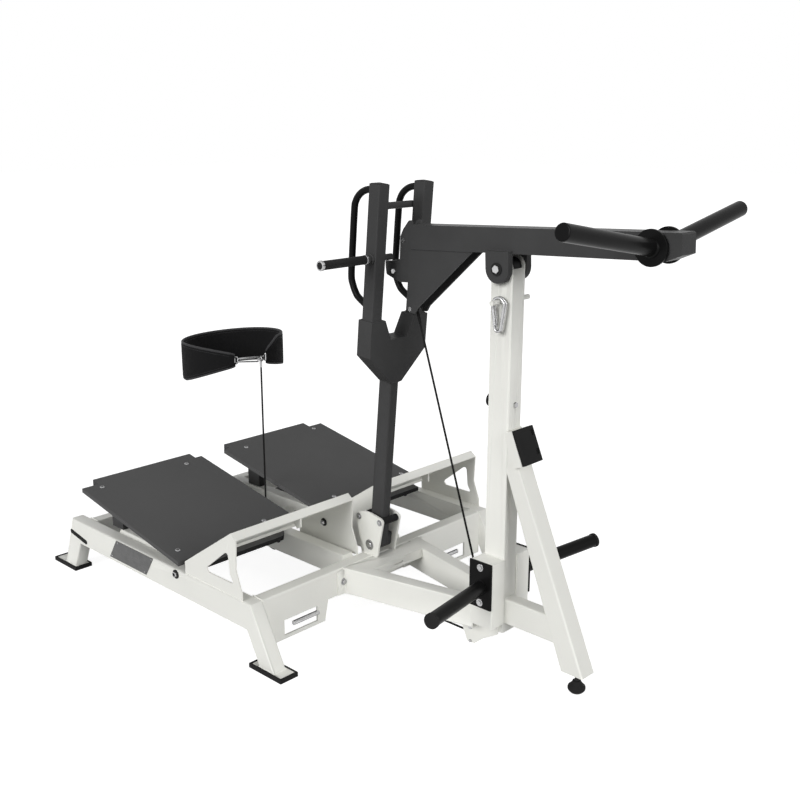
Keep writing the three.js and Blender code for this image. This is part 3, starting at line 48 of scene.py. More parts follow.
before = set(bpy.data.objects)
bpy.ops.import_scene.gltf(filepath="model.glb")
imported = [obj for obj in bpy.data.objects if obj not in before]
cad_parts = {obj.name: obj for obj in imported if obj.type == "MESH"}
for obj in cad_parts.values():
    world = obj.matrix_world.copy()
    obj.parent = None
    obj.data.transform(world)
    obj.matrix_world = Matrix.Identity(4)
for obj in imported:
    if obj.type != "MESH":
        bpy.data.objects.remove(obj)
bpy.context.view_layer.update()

# Millimetres, as the frame was drawn: X from the middle of the mast, Y from the middle plane, Z from the floor.
BOX_LOW, BOX_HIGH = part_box("horn_box_near")
MAST_X = (BOX_LOW.x + BOX_HIGH.x) / 2
PIVOT_Z = 1343
FORK_X = -575
FORK_Z = 264
RAIL_Y, WELD_Y = 622, 568.6
RAIL_LOW_Z, RAIL_TOP_Z = 128, 226.3
FRONT_BEAM_X = -550
BOARD_EDGE_X, BOARD_EDGE_TOP_Z, BOARD_SLOPE = -954, 264, 0.1867
AXLE_X, AXLE_Z = -985, 206
TOE_BOLT_X, TOE_BOLT_Z, TOE_BOLT_Y = -782, 308, 86.2
FLANGE_BOLT_Y, FLANGE_BOLT_Z = 204, 176
GRIP_U, GRIP_W = 9, 1079
EYE_X, EYE_Z = -387, 1168
PULLEY_Z = 100
MAST_PULLEY_X, CENTRE_PULLEY_X = -91, -1191
RISER_X, RISER_LOW_Z, RISER_TOP_Z = -1236.5, 101.6, 848
HORN_X, HORN_Z = 522.5, 1451
MAST_FACE_X, BUMPER_Z = 41.3, 908
ROLLER_Z = 363
CAMERA_PLACE = (2021.8, -2604.9, 1802.0)
CAMERA_TURN = (math.radians(43.678), math.radians(15.111))
LEAN = math.radians(5)
TILT = math.radians(2.7)
SIDES = (("near", -1), ("far", 1))


def place(x, y, z):
    """A point in metres from millimetres of the drawing."""
    return Vector((x / 1000 + MAST_X, y / 1000, z / 1000))


def drawn(point):
    """A point in millimetres of the drawing from metres."""
    return (point.x - MAST_X) * 1000, point.y * 1000, point.z * 1000


def on_fork(u, y, w):
    """A point of the rack fork, from its place on an upright fork."""
    return (
        FORK_X + u * math.cos(LEAN) + w * math.sin(LEAN),
        y,
        FORK_Z - u * math.sin(LEAN) + w * math.cos(LEAN),
    )


def on_lever(u, y, w):
    """A point of the lever, from its place on a level lever, measured from the pivot."""
    return (
        u * math.cos(TILT) - w * math.sin(TILT),
        y,
        PIVOT_Z + u * math.sin(TILT) + w * math.cos(TILT),
    )


# Settings a user would change


class SquatFinishes(bpy.types.PropertyGroup):
    """Colours and grain of the finishes"""

    white: bpy.props.FloatVectorProperty(
        name="White coat", description="Colour of the frame's powder coat",
        default=(0.8, 0.8, 0.755), size=3, min=0, max=1, subtype="COLOR",
    )
    black: bpy.props.FloatVectorProperty(
        name="Black coat", description="Colour of the fork's and lever's powder coat",
        default=(0.058, 0.058, 0.0585), size=3, min=0, max=1, subtype="COLOR",
    )
    board: bpy.props.FloatVectorProperty(
        name="Board skin", description="Colour of the rubber skin on the foot boards",
        default=(0.098, 0.098, 0.098), size=3, min=0, max=1, subtype="COLOR",
    )
    rubber: bpy.props.FloatVectorProperty(
        name="Rubber", description="Colour of feet, pads, rollers and grips",
        default=(0.014, 0.014, 0.014), size=3, min=0, max=1, subtype="COLOR",
    )
    webbing: bpy.props.FloatVectorProperty(
        name="Webbing", description="Colour of the hip belt",
        default=(0.011, 0.011, 0.0115), size=3, min=0, max=1, subtype="COLOR",
    )
    grain: bpy.props.FloatProperty(
        name="Coat grain", description="How many grains of the powder coat lie on a metre",
        default=700, min=50, max=4000,
    )


class SquatShapes(bpy.types.PropertyGroup):
    """Roundings and thicknesses of the dressed pieces"""

    tube_round: bpy.props.FloatProperty(
        name="Tube corners", description="Rounding of the long corners of the tubes",
        default=0.006, min=0.0005, max=0.02, unit="LENGTH",
    )
    plate_round: bpy.props.FloatProperty(
        name="Plate edges", description="Rounding of the edges of plates and small parts",
        default=0.001, min=0.0002, max=0.005, unit="LENGTH",
    )
    belt_thickness: bpy.props.FloatProperty(
        name="Belt thickness", description="Thickness of the padded belt",
        default=0.0094, min=0.004, max=0.02, unit="LENGTH",
    )
    weld_radius: bpy.props.FloatProperty(
        name="Weld bead", description="Radius of the weld beads",
        default=0.0028, min=0.001, max=0.006, unit="LENGTH",
    )


class SquatStudio(bpy.types.PropertyGroup):
    """Light and camera of the studio"""

    sky: bpy.props.FloatProperty(
        name="Sky light", description="Strength of the soft light from all round",
        default=0.22, min=0, max=3,
    )
    near_light: bpy.props.FloatProperty(
        name="Near light", description="Strength of the soft light on the near side",
        default=2.08, min=0, max=10,
    )
    end_light: bpy.props.FloatProperty(
        name="End light", description="Strength of the soft light on the weight horns' end",
        default=1.5, min=0, max=10,
    )
    lens: bpy.props.FloatProperty(
        name="Lens", description="Focal length of the camera, in millimetres",
        default=47.62, min=10, max=200,
    )


def finishes():
    """The colours and grain now set."""
    return bpy.context.scene.squat_finishes


def shapes():
    """The roundings and thicknesses now set."""
    return bpy.context.scene.squat_shapes


# Shader groups


def new_group(name, **inputs):
    """A shader node group with the given inputs, and the outputs a finish takes: colour, roughness and height."""
    group = bpy.data.node_groups.new(name, "ShaderNodeTree")
    kinds = {3: "NodeSocketVector", 4: "NodeSocketColor"}
    for label, value in inputs.items():
        kind = "NodeSocketFloat" if isinstance(value, float) else kinds[len(value)]
        group.interface.new_socket(label, in_out="INPUT", socket_type=kind).default_value = value
    for label, kind in (("Colour", "Color"), ("Roughness", "Float"), ("Height", "Float")):
        group.interface.new_socket(label, in_out="OUTPUT", socket_type=f"NodeSocket{kind}")
    return group, group.nodes.new("NodeGroupInput").outputs, group.nodes.new("NodeGroupOutput").inputs


def object_spot(nodes):
    """The place on a piece that its patterns follow."""
    return nodes.new("ShaderNodeTexCoord").outputs["Object"]


def spread(nodes, links, value, amount):
    """Noise turned into a factor that strays by an amount to either side of one."""
    low = arithmetic(nodes, links, "SUBTRACT", 1.0, amount)
    high = arithmetic(nodes, links, "ADD", 1.0, amount)
    return ranged(nodes, links, value, 0.3, 0.7, low, high)


def noise(nodes, links, vector, scale, detail=2.0):
    """Soft noise over a vector; scale is a number or a socket."""
    node = nodes.new("ShaderNodeTexNoise")
    node.inputs["Detail"].default_value = detail
    links.new(vector, node.inputs["Vector"])
    if isinstance(scale, float):
        node.inputs["Scale"].default_value = scale
    else:
        links.new(scale, node.inputs["Scale"])
    return node.outputs["Fac"]


def ranged(nodes, links, value, low, high, to_low, to_high):
    """A value moved from one range to another; each limit is a number or a socket."""
    node = nodes.new("ShaderNodeMapRange")
    links.new(value, node.inputs["Value"])
    for label, number in (("From Min", low), ("From Max", high), ("To Min", to_low), ("To Max", to_high)):
        if isinstance(number, (int, float)):
            node.inputs[label].default_value = number
        else:
            links.new(number, node.inputs[label])
    return node.outputs["Result"]


def arithmetic(nodes, links, operation, a, b):
    """A sum, difference or product of two numbers or sockets."""
    node = nodes.new("ShaderNodeMath")
    node.operation = operation
    for index, value in enumerate((a, b)):
        if isinstance(value, (int, float)):
            node.inputs[index].default_value = value
        else:
            links.new(value, node.inputs[index])
    return node.outputs[0]


def shaded(nodes, links, colour, factor):
    """A colour times a varying value."""
    node = nodes.new("ShaderNodeVectorMath")
    node.operation = "SCALE"
    links.new(colour, node.inputs[0])
    links.new(factor, node.inputs["Scale"])
    return node.outputs[0]


def coat_group():
    """Powder coat: fine orange-peel grain, faint clouds of tone and a few rubbed streaks."""
    group, start, end = new_group(
        "powder_coat", Tone=(0.8, 0.8, 0.8, 1), Grain=700.0, Clouds=0.03, Roughness=0.4,
    )
    nodes, links = group.nodes, group.links
    spot = object_spot(nodes)
    fine = noise(nodes, links, spot, start["Grain"])
    broad = noise(nodes, links, spot, 5.0, 4.0)
    factor = spread(nodes, links, broad, start["Clouds"])
    links.new(shaded(nodes, links, start["Tone"], factor), end["Colour"])
    stretch = nodes.new("ShaderNodeMapping")
    stretch.inputs["Scale"].default_value = (9, 60, 9)
    links.new(spot, stretch.inputs["Vector"])
    streak = noise(nodes, links, stretch.outputs[0], 3.0, 6.0)
    rub = ranged(nodes, links, streak, 0.55, 0.75, 0.0, 0.12)
    links.new(arithmetic(nodes, links, "ADD", start["Roughness"], rub), end["Roughness"])
    links.new(fine, end["Height"])
    return group


def rubber_group():
    """Moulded rubber: pebbled grain with a dusty bloom in broad patches."""
    group, start, end = new_group(
        "moulded_rubber", Tone=(0.03, 0.03, 0.03, 1), Pebbles=420.0, Bloom=0.2, Roughness=0.75,
    )
    nodes, links = group.nodes, group.links
    spot = object_spot(nodes)
    cells = nodes.new("ShaderNodeTexVoronoi")
    links.new(spot, cells.inputs["Vector"])
    links.new(start["Pebbles"], cells.inputs["Scale"])
    broad = noise(nodes, links, spot, 7.0, 5.0)
    factor = spread(nodes, links, broad, start["Bloom"])
    links.new(shaded(nodes, links, start["Tone"], factor), end["Colour"])
    links.new(ranged(nodes, links, broad, 0.3, 0.7, start["Roughness"], 0.9), end["Roughness"])
    links.new(cells.outputs["Distance"], end["Height"])
    return group


def steel_group():
    """Zinc-plated or brushed steel: fine drawn lines and a faint bloom."""
    group, start, end = new_group("plated_steel", Tone=(0.6, 0.6, 0.62, 1), Lines=(40, 900, 900), Roughness=0.28)
    nodes, links = group.nodes, group.links
    spot = object_spot(nodes)
    stretch = nodes.new("ShaderNodeVectorMath")
    stretch.operation = "MULTIPLY"
    links.new(spot, stretch.inputs[0])
    links.new(start["Lines"], stretch.inputs[1])
    lines = noise(nodes, links, stretch.outputs[0], 1.0, 3.0)
    factor = ranged(nodes, links, noise(nodes, links, spot, 40.0, 4.0), 0.3, 0.7, 0.88, 1.08)
    links.new(shaded(nodes, links, start["Tone"], factor), end["Colour"])
    stray = ranged(nodes, links, lines, 0.3, 0.7, -0.06, 0.1)
    links.new(arithmetic(nodes, links, "ADD", start["Roughness"], stray), end["Roughness"])
    links.new(lines, end["Height"])
    return group


def weave_group():
    """Woven webbing: crossed ribs of yarn that follow the belt round and up."""
    group, start, end = new_group("woven_webbing", Tone=(0.02, 0.02, 0.02, 1), Yarns=500.0, Roughness=0.8)
    nodes, links = group.nodes, group.links
    spot = nodes.new("ShaderNodeUVMap").outputs["UV"]
    heights = []
    for direction in ("X", "Y"):
        wave = nodes.new("ShaderNodeTexWave")
        wave.bands_direction = direction
        wave.inputs["Distortion"].default_value = 0.4
        wave.inputs["Detail"].default_value = 1.0
        links.new(spot, wave.inputs["Vector"])
        links.new(start["Yarns"], wave.inputs["Scale"])
        heights.append(wave.outputs["Fac"])
    height = arithmetic(nodes, links, "MULTIPLY", *heights)
    fuzz = noise(nodes, links, spot, 60.0, 5.0)
    factor = arithmetic(
        nodes, links, "MULTIPLY",
        ranged(nodes, links, height, 0.0, 1.0, 0.7, 1.25),
        ranged(nodes, links, fuzz, 0.3, 0.7, 0.85, 1.2),
    )
    links.new(shaded(nodes, links, start["Tone"], factor), end["Colour"])
    links.new(ranged(nodes, links, fuzz, 0.3, 0.7, start["Roughness"], 0.95), end["Roughness"])
    links.new(height, end["Height"])
    return group


GROUPS = {}
MATERIALS = {}


def effect(name):
    """The shader group of one effect, built on first use."""
    if name not in GROUPS:
        makers = {"coat": coat_group, "rubber": rubber_group, "steel": steel_group, "weave": weave_group}
        GROUPS[name] = makers[name]()
    return GROUPS[name]


def finish_material(name, effect_name, values, bump, distance, **plain):
    """A material whose colour, roughness and grain come from one effect group.

    bump is the strength of the grain, distance its height in metres, and plain the shader's own sockets."""
    material = bpy.data.materials.new(name)
    material.use_nodes = True
    nodes, links = material.node_tree.nodes, material.node_tree.links
    principled = nodes["Principled BSDF"]
    for label, value in plain.items():
        principled.inputs[label.replace("_", " ")].default_value = value
    group = nodes.new("ShaderNodeGroup")
    group.node_tree = effect(effect_name)
    for label, value in values.items():
        group.inputs[label].default_value = value
    links.new(group.outputs["Colour"], principled.inputs["Base Color"])
    links.new(group.outputs["Roughness"], principled.inputs["Roughness"])
    ridge = nodes.new("ShaderNodeBump")
    ridge.inputs["Strength"].default_value = bump
    ridge.inputs["Distance"].default_value = distance
    links.new(group.outputs["Height"], ridge.inputs["Height"])
    links.new(ridge.outputs["Normal"], principled.inputs["Normal"])
    MATERIALS[name] = material
    return material


def paint_rim_shade(material, share):
    """Paints shade into a finish where it is seen edge on: its colour drops to a share of its tone there, a
    painted dark reflection of the surroundings.
    """
    nodes, links = material.node_tree.nodes, material.node_tree.links
    base = nodes["Principled BSDF"].inputs["Base Color"]
    facing = nodes.new("ShaderNodeLayerWeight").outputs["Facing"]
    colour = base.links[0].from_socket
    links.new(shaded(nodes, links, colour, ranged(nodes, links, facing, 0.25, 0.8, 1.0, share)), base)


def rgba(colour, factor=1.0):
    """A colour with its alpha, lightened or darkened by a factor."""
    return (colour[0] * factor, colour[1] * factor, colour[2] * factor, 1)


def make_finishes():
    """Every finish on the machine."""
    look = finishes()
    grain = look.grain
    finish_material("white_coat", "coat", {"Tone": rgba(look.white), "Grain": grain, "Clouds": 0.018,
                    "Roughness": 0.42}, bump=0.12, distance=0.0003, Coat_Weight=0.15, Coat_Roughness=0.25)
    finish_material("black_coat", "coat", {"Tone": rgba(look.black), "Grain": grain * 1.3, "Clouds": 0.1,
                    "Roughness": 0.36}, bump=0.2, distance=0.0003, Specular_IOR_Level=0.03)
    finish_material("horn_coat", "coat", {"Tone": rgba(look.black, 0.12), "Grain": grain, "Clouds": 0.05,
                    "Roughness": 0.3}, bump=0.1, distance=0.0002, Specular_IOR_Level=0.06)
    finish_material("board_skin", "rubber", {"Tone": rgba(look.board), "Pebbles": 520.0, "Bloom": 0.04,
                    "Roughness": 0.66}, bump=0.35, distance=0.0004, Specular_IOR_Level=0.08)
    finish_material("rubber", "rubber", {"Tone": rgba(look.rubber), "Pebbles": 700.0, "Bloom": 0.18,
                    "Roughness": 0.6}, bump=0.2, distance=0.0003, Specular_IOR_Level=0.1)
    finish_material("grip_foam", "rubber", {"Tone": rgba(look.rubber, 0.6), "Pebbles": 1100.0, "Bloom": 0.12,
                    "Roughness": 0.42}, bump=0.3, distance=0.0003, Specular_IOR_Level=0.2)
    finish_material("nylon", "rubber", {"Tone": rgba(look.rubber, 0.9), "Pebbles": 300.0, "Bloom": 0.05,
                    "Roughness": 0.35}, bump=0.05, distance=0.0002, Specular_IOR_Level=0.15)
    zinc = finish_material("zinc", "steel", {"Tone": (0.52, 0.52, 0.525, 1), "Lines": (300, 300, 300),
                           "Roughness": 0.24}, bump=0.03, distance=0.0001, Metallic=1.0)
    # painted shade: the zinc's colour darkens towards its edges as seen, standing in for dark reflections of the
    # surroundings
    paint_rim_shade(zinc, 0.16)
    finish_material("brushed_plate", "steel", {"Tone": (0.105, 0.105, 0.105, 1), "Lines": (25, 900, 900),
                    "Roughness": 0.32}, bump=0.12, distance=0.0001, Metallic=1.0)
    finish_material("belt_webbing", "weave", {"Tone": rgba(look.webbing), "Yarns": 320.0,
                    "Roughness": 0.72}, bump=0.5, distance=0.0004, Specular_IOR_Level=0.06, Sheen_Weight=0.02,
                    Sheen_Roughness=0.5)
    # the binding's lighter tone is partly its own fabric and partly a painted highlight on the belt's rim
    finish_material("belt_binding", "weave", {"Tone": rgba(look.webbing, 3.6), "Yarns": 700.0,
                    "Roughness": 0.65}, bump=0.4, distance=0.0003, Specular_IOR_Level=0.3)
    finish_material("thread", "weave", {"Tone": rgba(look.webbing, 4.0), "Yarns": 900.0,
                    "Roughness": 0.6}, bump=0.3, distance=0.0002)
    finish_material("cable_jacket", "rubber", {"Tone": rgba(look.rubber, 0.8), "Pebbles": 900.0, "Bloom": 0.05,
                    "Roughness": 0.38}, bump=0.1, distance=0.0002, Specular_IOR_Level=0.08)


# Mesh helpers


def settle(name, bm, materials, body, nodes=(), angle=32):
    """Turns a bmesh into a shaded piece that rides on a body and stands for its nodes."""
    bmesh.ops.recalc_face_normals(bm, faces=bm.faces)
    mesh = bpy.data.meshes.new(name)
    bm.to_mesh(mesh)
    bm.free()
    for material in materials:
        mesh.materials.append(MATERIALS[material])
    mesh.polygons.foreach_set("use_smooth", [True] * len(mesh.polygons))
    mesh.set_sharp_from_angle(angle=math.radians(angle))
    piece = bpy.data.objects.new(name, mesh)
    bpy.context.scene.collection.objects.link(piece)
    weighted = piece.modifiers.new("Even shading", "WEIGHTED_NORMAL")
    weighted.keep_sharp = True
    weighted.weight = 92
    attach(piece, body)
    if nodes:
        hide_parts(*nodes)
    return piece


def rounded(bm, width, wanted, segments=3, clamp=True):
    """Rounds the wanted sharp edges of a mesh."""
    edges = [
        e for e in bm.edges
        if len(e.link_faces) == 2 and e.calc_face_angle(0) > math.radians(28) and wanted(e)
    ]
    if edges:
        bmesh.ops.bevel(
            bm, geom=edges, offset=width, segments=segments, profile=0.5, affect="EDGES",
            clamp_overlap=clamp,
        )


def clean_copy(node):
    """The frame's solid as a mesh of whole faces."""
    bm = bmesh.new()
    bm.from_mesh(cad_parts[node].data)
    bmesh.ops.remove_doubles(bm, verts=bm.verts, dist=2e-5)
    bmesh.ops.dissolve_limit(bm, angle_limit=math.radians(0.6), verts=bm.verts, edges=bm.edges)
    for face in bm.faces:
        face.material_index = 0
    return bm


def long_edges(least, axis=None):
    """Picks edges of at least a length in metres, along an axis if one is given."""

    def wanted(edge):
        run = edge.verts[1].co - edge.verts[0].co
        if run.length < least:
            return False
        return axis is None or abs(run.normalized().dot(Vector(axis))) > 0.9

    return wanted


def dress(node, body, material, tube=None, edge=None, corner=0, paint=()):
    """A copy of a node's solid with rounded corners and edges, painted by region.

    tube picks the long corners that get the tube rounding, corner rounds the outline of plates that stand
    across Y, and paint lists (material, test of a face's middle)."""
    bm = clean_copy(node)
    if corner:
        rounded(bm, corner, lambda e: e.calc_length() < 0.03 and long_edges(0.003, (0, 1, 0))(e), 6)
    if tube:
        rounded(bm, shapes().tube_round, tube, 4, False)
    width = shapes().plate_round if edge is None else edge
    rounded(bm, width, lambda e: e.calc_length() > 0.0025, 2)
    names = [material]
    for extra, test in paint:
        if extra not in names:
            names.append(extra)
        index = names.index(extra)
        for face in bm.faces:
            if test(*drawn(face.calc_center_median())):
                face.material_index = index
    return settle(f"{node}_dressed", bm, names, body, (node,))


def ring_round(bm, centre, axis, radius, count):
    """Adds a ring of points round an axis: centre in metres, radius in millimetres."""
    side = axis.orthogonal().normalized()
    up = axis.cross(side)
    turns = (2 * math.pi * k / count for k in range(count))
    return [bm.verts.new(centre + (side * math.cos(a) + up * math.sin(a)) * radius / 1000) for a in turns]


def join_rings(bm, low, high, index=0, shift=0):
    """Adds the faces between two rings of as many points, the second taken from shift points on."""
    count = len(low)
    for k in range(count):
        j = (k + 1) % count
        face = bm.faces.new((low[k], low[j], high[(j + shift) % count], high[(k + shift) % count]))
        face.material_index = index


def skin(bm, rings, index=0, capped=True):
    """Adds the faces over a row of rings, and a flat face on each end unless it is left open."""
    for low, high in zip(rings, rings[1:]):
        join_rings(bm, low, high, index)
    if capped:
        for ring in (rings[-1], rings[0][::-1]):
            bm.faces.new(ring).material_index = index


def turned(bm, profile, start, end, count=40, index=0):
    """Adds a turned form: profile of (share along, millimetres along after it, radius) from start to end."""
    a, b = place(*start), place(*end)
    axis = (b - a).normalized()
    length = (b - a).length
    rings = []
    for share, offset, radius in profile:
        centre = a + axis * (length * share + offset / 1000)
        rings.append(ring_round(bm, centre, axis, radius, count) if radius > 0 else [bm.verts.new(centre)])
    for low, high in zip(rings, rings[1:]):
        if len(low) == len(high):
            join_rings(bm, low, high, index)
            continue
        tip, ring = (low[0], high) if len(low) == 1 else (high[0], low)
        for i, vert in enumerate(ring):
            bm.faces.new((tip, vert, ring[(i + 1) % count])).material_index = index


def rod_profile(radius, lip=2.0):
    """Profile of a rod with softly rounded ends."""
    return [
        (0, 0, 0), (0, 0, radius - lip), (0, lip * 0.3, radius - lip * 0.3), (0, lip, radius),
        (1, -lip, radius), (1, -lip * 0.3, radius - lip * 0.3), (1, 0, radius - lip), (1, 0, 0),
    ]


def smooth_path(points, each=8, closed=False):
    """Points of a smooth curve through the given ones."""
    count = len(points)
    points = [Vector(p) for p in points]
    path = []
    for i in range(count if closed else count - 1):
        if closed:
            p0, p1, p2, p3 = (points[(i + k) % count] for k in (-1, 0, 1, 2))
        else:
            p0, p1, p2, p3 = (points[min(max(i + k, 0), count - 1)] for k in (-1, 0, 1, 2))
        for step in range(each):
            t = step / each
            path.append(
                0.5 * ((2 * p1) + (p2 - p0) * t + (2 * p0 - 5 * p1 + 4 * p2 - p3) * t * t
                       + (3 * p1 - p0 - 3 * p2 + p3) * t * t * t)
            )
    if not closed:
        path.append(points[-1])
    return path


def pipe(bm, path, radius, count=14, closed=False, index=0, ripple=None):
    """Adds a round tube along a path in metres, its radius in metres, with flat ends unless it is closed."""
    total = len(path)
    normal = None
    rings = []
    for i, point in enumerate(path):
        ahead = path[(i + 1) % total] if closed else path[min(i + 1, total - 1)]
        behind = path[i - 1] if closed or i else path[0]
        way = (ahead - behind).normalized()
        if normal is None:
            normal = way.orthogonal().normalized()
        normal = (normal - way * normal.dot(way)).normalized()
        other = way.cross(normal)
        size = radius * (ripple(i) if ripple else 1)
        rings.append([
            bm.verts.new(point + (normal * math.cos(a) + other * math.sin(a)) * size)
            for a in (2 * math.pi * k / count for k in range(count))
        ])
    skin(bm, rings, index, capped=not closed)
    if closed:
        last, first = rings[-1], rings[0]
        shift = min(range(count), key=lambda s: (last[0].co - first[s].co).length)
        join_rings(bm, last, first, index, shift)


def stack(bm, at, way, steps, count, index):
    """Adds a closed form of rings that faces along way: steps of (millimetres from a drawn point, radius)."""
    centre = place(*at)
    axis = Vector(way).normalized()
    skin(bm, [ring_round(bm, centre + axis * step / 1000, axis, radius, count) for step, radius in steps], index)


def hexagon_head(bm, at, way, radius, height, index=0, washer=True):
    """Adds a bolt head with a chamfered top on a washer, at a drawn point, facing along way."""
    base = 0
    if washer:
        stack(bm, at, way, [(-0.2, radius * 1.5), (1.3, radius * 1.5), (1.6, radius * 1.42)], 28, index)
        base = 1.4
    stack(bm, at, way, [(base, radius), (base + height * 0.8, radius), (base + height, radius * 0.86)], 6, index)


def socket_head(bm, at, way, radius, height, index=0):
    """Adds a round screw head with a socket."""
    stack(bm, at, way, [
        (-0.5, radius), (height * 0.55, radius), (height, radius * 0.82), (height, radius * 0.5),
        (height * 0.2, radius * 0.48),
    ], 24, index)


def both_sides(*points):
    """A run of drawn points, given for one side, on both sides of the middle plane."""
    return [[(x, side * y, z) for x, y, z in points] for side in (-1, 1)]


def weld_beads(name, body, coat, runs):
    """Weld beads along straight runs of drawn points."""
    bm = bmesh.new()
    radius = shapes().weld_radius
    for run in runs:
        for start, end in zip(run, run[1:]):
            a, b = place(*start), place(*end)
            steps = max(3, int((b - a).length / 0.0024))
            path = [a.lerp(b, i / steps) for i in range(steps + 1)]
            pipe(bm, path, radius, 8, ripple=lambda i: 1.0 + 0.16 * math.sin(i * 1.9))
    return settle(name, bm, [coat], body, angle=60)


# Pieces


def from_toe_bolt(x, z):
    """How far a place across Y lies from the bolt in a toe plate's inner end."""
    return math.hypot(x - TOE_BOLT_X, z - TOE_BOLT_Z)


def make_tubes():
    """The white frame: side frames, beams, V frame, mast, brace and boxes."""
    for name, side in SIDES:
        dress(
            f"side_frame_{name}", "frame", "white_coat",
            tube=lambda e: e.calc_length() > 0.1 and min(v.co.z for v in e.verts) > 0.0135
            and abs((e.verts[0].co - e.verts[1].co).normalized().y) < 0.5
            and max(abs(v.co.y) for v in e.verts) > 0.5685,
        )
        dress(
            f"inner_beam_{name}", "frame", "white_coat",
            tube=long_edges(0.4),
            paint=[("rubber", lambda x, y, z: 100.5 < abs(y) < 104.5 and 222 < z < 233 and -935 < x < -800)],
        )
        dress(f"horn_box_{name}", "frame", "white_coat", tube=long_edges(0.15, (0, 0, 1)))
        dress(
            f"toe_plate_{name}", "frame", "white_coat", edge=0.0007, corner=0.009,
            paint=[
                ("nylon", lambda x, y, z: from_toe_bolt(x, z) < 13.5 and 86.1 < abs(y) < 88.6),
                ("zinc", lambda x, y, z: from_toe_bolt(x, z) < 8.6 and 88.1 < abs(y) < 97),
            ],
        )
    bm = bmesh.new()
    for side in (-1, 1):
        face, seat, top = ((TOE_BOLT_X, side * (TOE_BOLT_Y + out), TOE_BOLT_Z) for out in (0, 2.4, 3))
        turned(bm, [(0, 0, 9), (0, 0, 15.5), (0, 2.2, 15.5), (0, 3, 14.6), (0, 3, 9)], face, top)
        hexagon_head(bm, seat, (0, side, 0), 9.6, 9.5, index=1, washer=False)
    settle("toe_plate_bolts", bm, ["nylon", "zinc"], "frame")
    dress(
        "front_cross_beam", "frame", "white_coat", tube=long_edges(0.6),
        paint=[("zinc", lambda x, y, z: 83.5 < z < 101.5 and 326 < abs(y) < 437)],
    )
    dress("rear_cross_beam", "frame", "white_coat", tube=long_edges(0.6))
    dress(
        "v_frame", "frame", "white_coat", tube=long_edges(0.3),
        paint=[("zinc", lambda x, y, z: -550.2 < x < -540
                and math.hypot(abs(y) - FLANGE_BOLT_Y, z - FLANGE_BOLT_Z) < 9.6)],
    )
    bm = bmesh.new()
    for side in (-1, 1):
        hexagon_head(bm, (FRONT_BEAM_X - 0.6, side * FLANGE_BOLT_Y, FLANGE_BOLT_Z), (1, 0, 0), 9.2, 6)
    settle("flange_bolts", bm, ["zinc"], "frame")
    dress(
        "mast", "frame", "white_coat", tube=long_edges(0.3, (0, 0, 1)),
        paint=[("zinc", lambda x, y, z: x > MAST_FACE_X and abs(z - BUMPER_Z) < 12)],
    )
    dress("brace", "frame", "white_coat", tube=long_edges(0.3))
    dress("tail_tube", "frame", "white_coat", tube=long_edges(0.1))
    weld_beads("white_welds", "frame", "white_coat", [
        *both_sides((-612, WELD_Y, RAIL_TOP_Z), (-559, WELD_Y, RAIL_TOP_Z), (-559, WELD_Y, RAIL_LOW_Z)),
        *both_sides((-1599, WELD_Y, RAIL_LOW_Z), (-1599, WELD_Y, RAIL_TOP_Z), (-1652, WELD_Y, RAIL_TOP_Z)),
        *both_sides((-1786, RAIL_Y, 14.5), (-1708, RAIL_Y, 14.5), (-1708, 569, 14.5)),
        *both_sides((-526, RAIL_Y, 14.5), (-448, RAIL_Y, 14.5), (-447, 569, 14.5), (-526, 569, 14.5)),
        *both_sides((-46.5, 36, 226.2), (-46.5, 85, 226.2), (-46.5, 85, RAIL_LOW_Z)),
        *both_sides((FRONT_BEAM_X, 146, RAIL_LOW_Z), (FRONT_BEAM_X, 146, 226)),
        *both_sides((FRONT_BEAM_X, 198, RAIL_LOW_Z), (FRONT_BEAM_X, 198, 226)),
        *both_sides((-42.5, 33.8, 156), (-42.5, 33.8, 384)),
        *both_sides((42.5, 33.8, 156), (42.5, 33.8, 384)),
        *both_sides((-40, 33.8, 385.2), (40, 33.8, 385.2)),
        [(41.5, -33.5, 684), (41.5, -33.5, 829), (41.5, 33.5, 829), (41.5, 33.5, 684)],
        [(41.5, -26, 153), (41.5, -26, 242), (41.5, 26, 242), (41.5, 26, 153)],
        *both_sides((-924, RAIL_Y, 226.4), (-604, RAIL_Y, 226.4)),
        *both_sides((-616, 48, 226.5), (-535, 48, 226.5)),
    ])
    weld_beads("inner_beam_welds", "frame", "white_coat", [
        *both_sides((-1598.8, 100, 150), (-1598.8, 100, 225.5)),
        *both_sides((-612.2, 100, 150), (-612.2, 100, 225.5)),
    ])


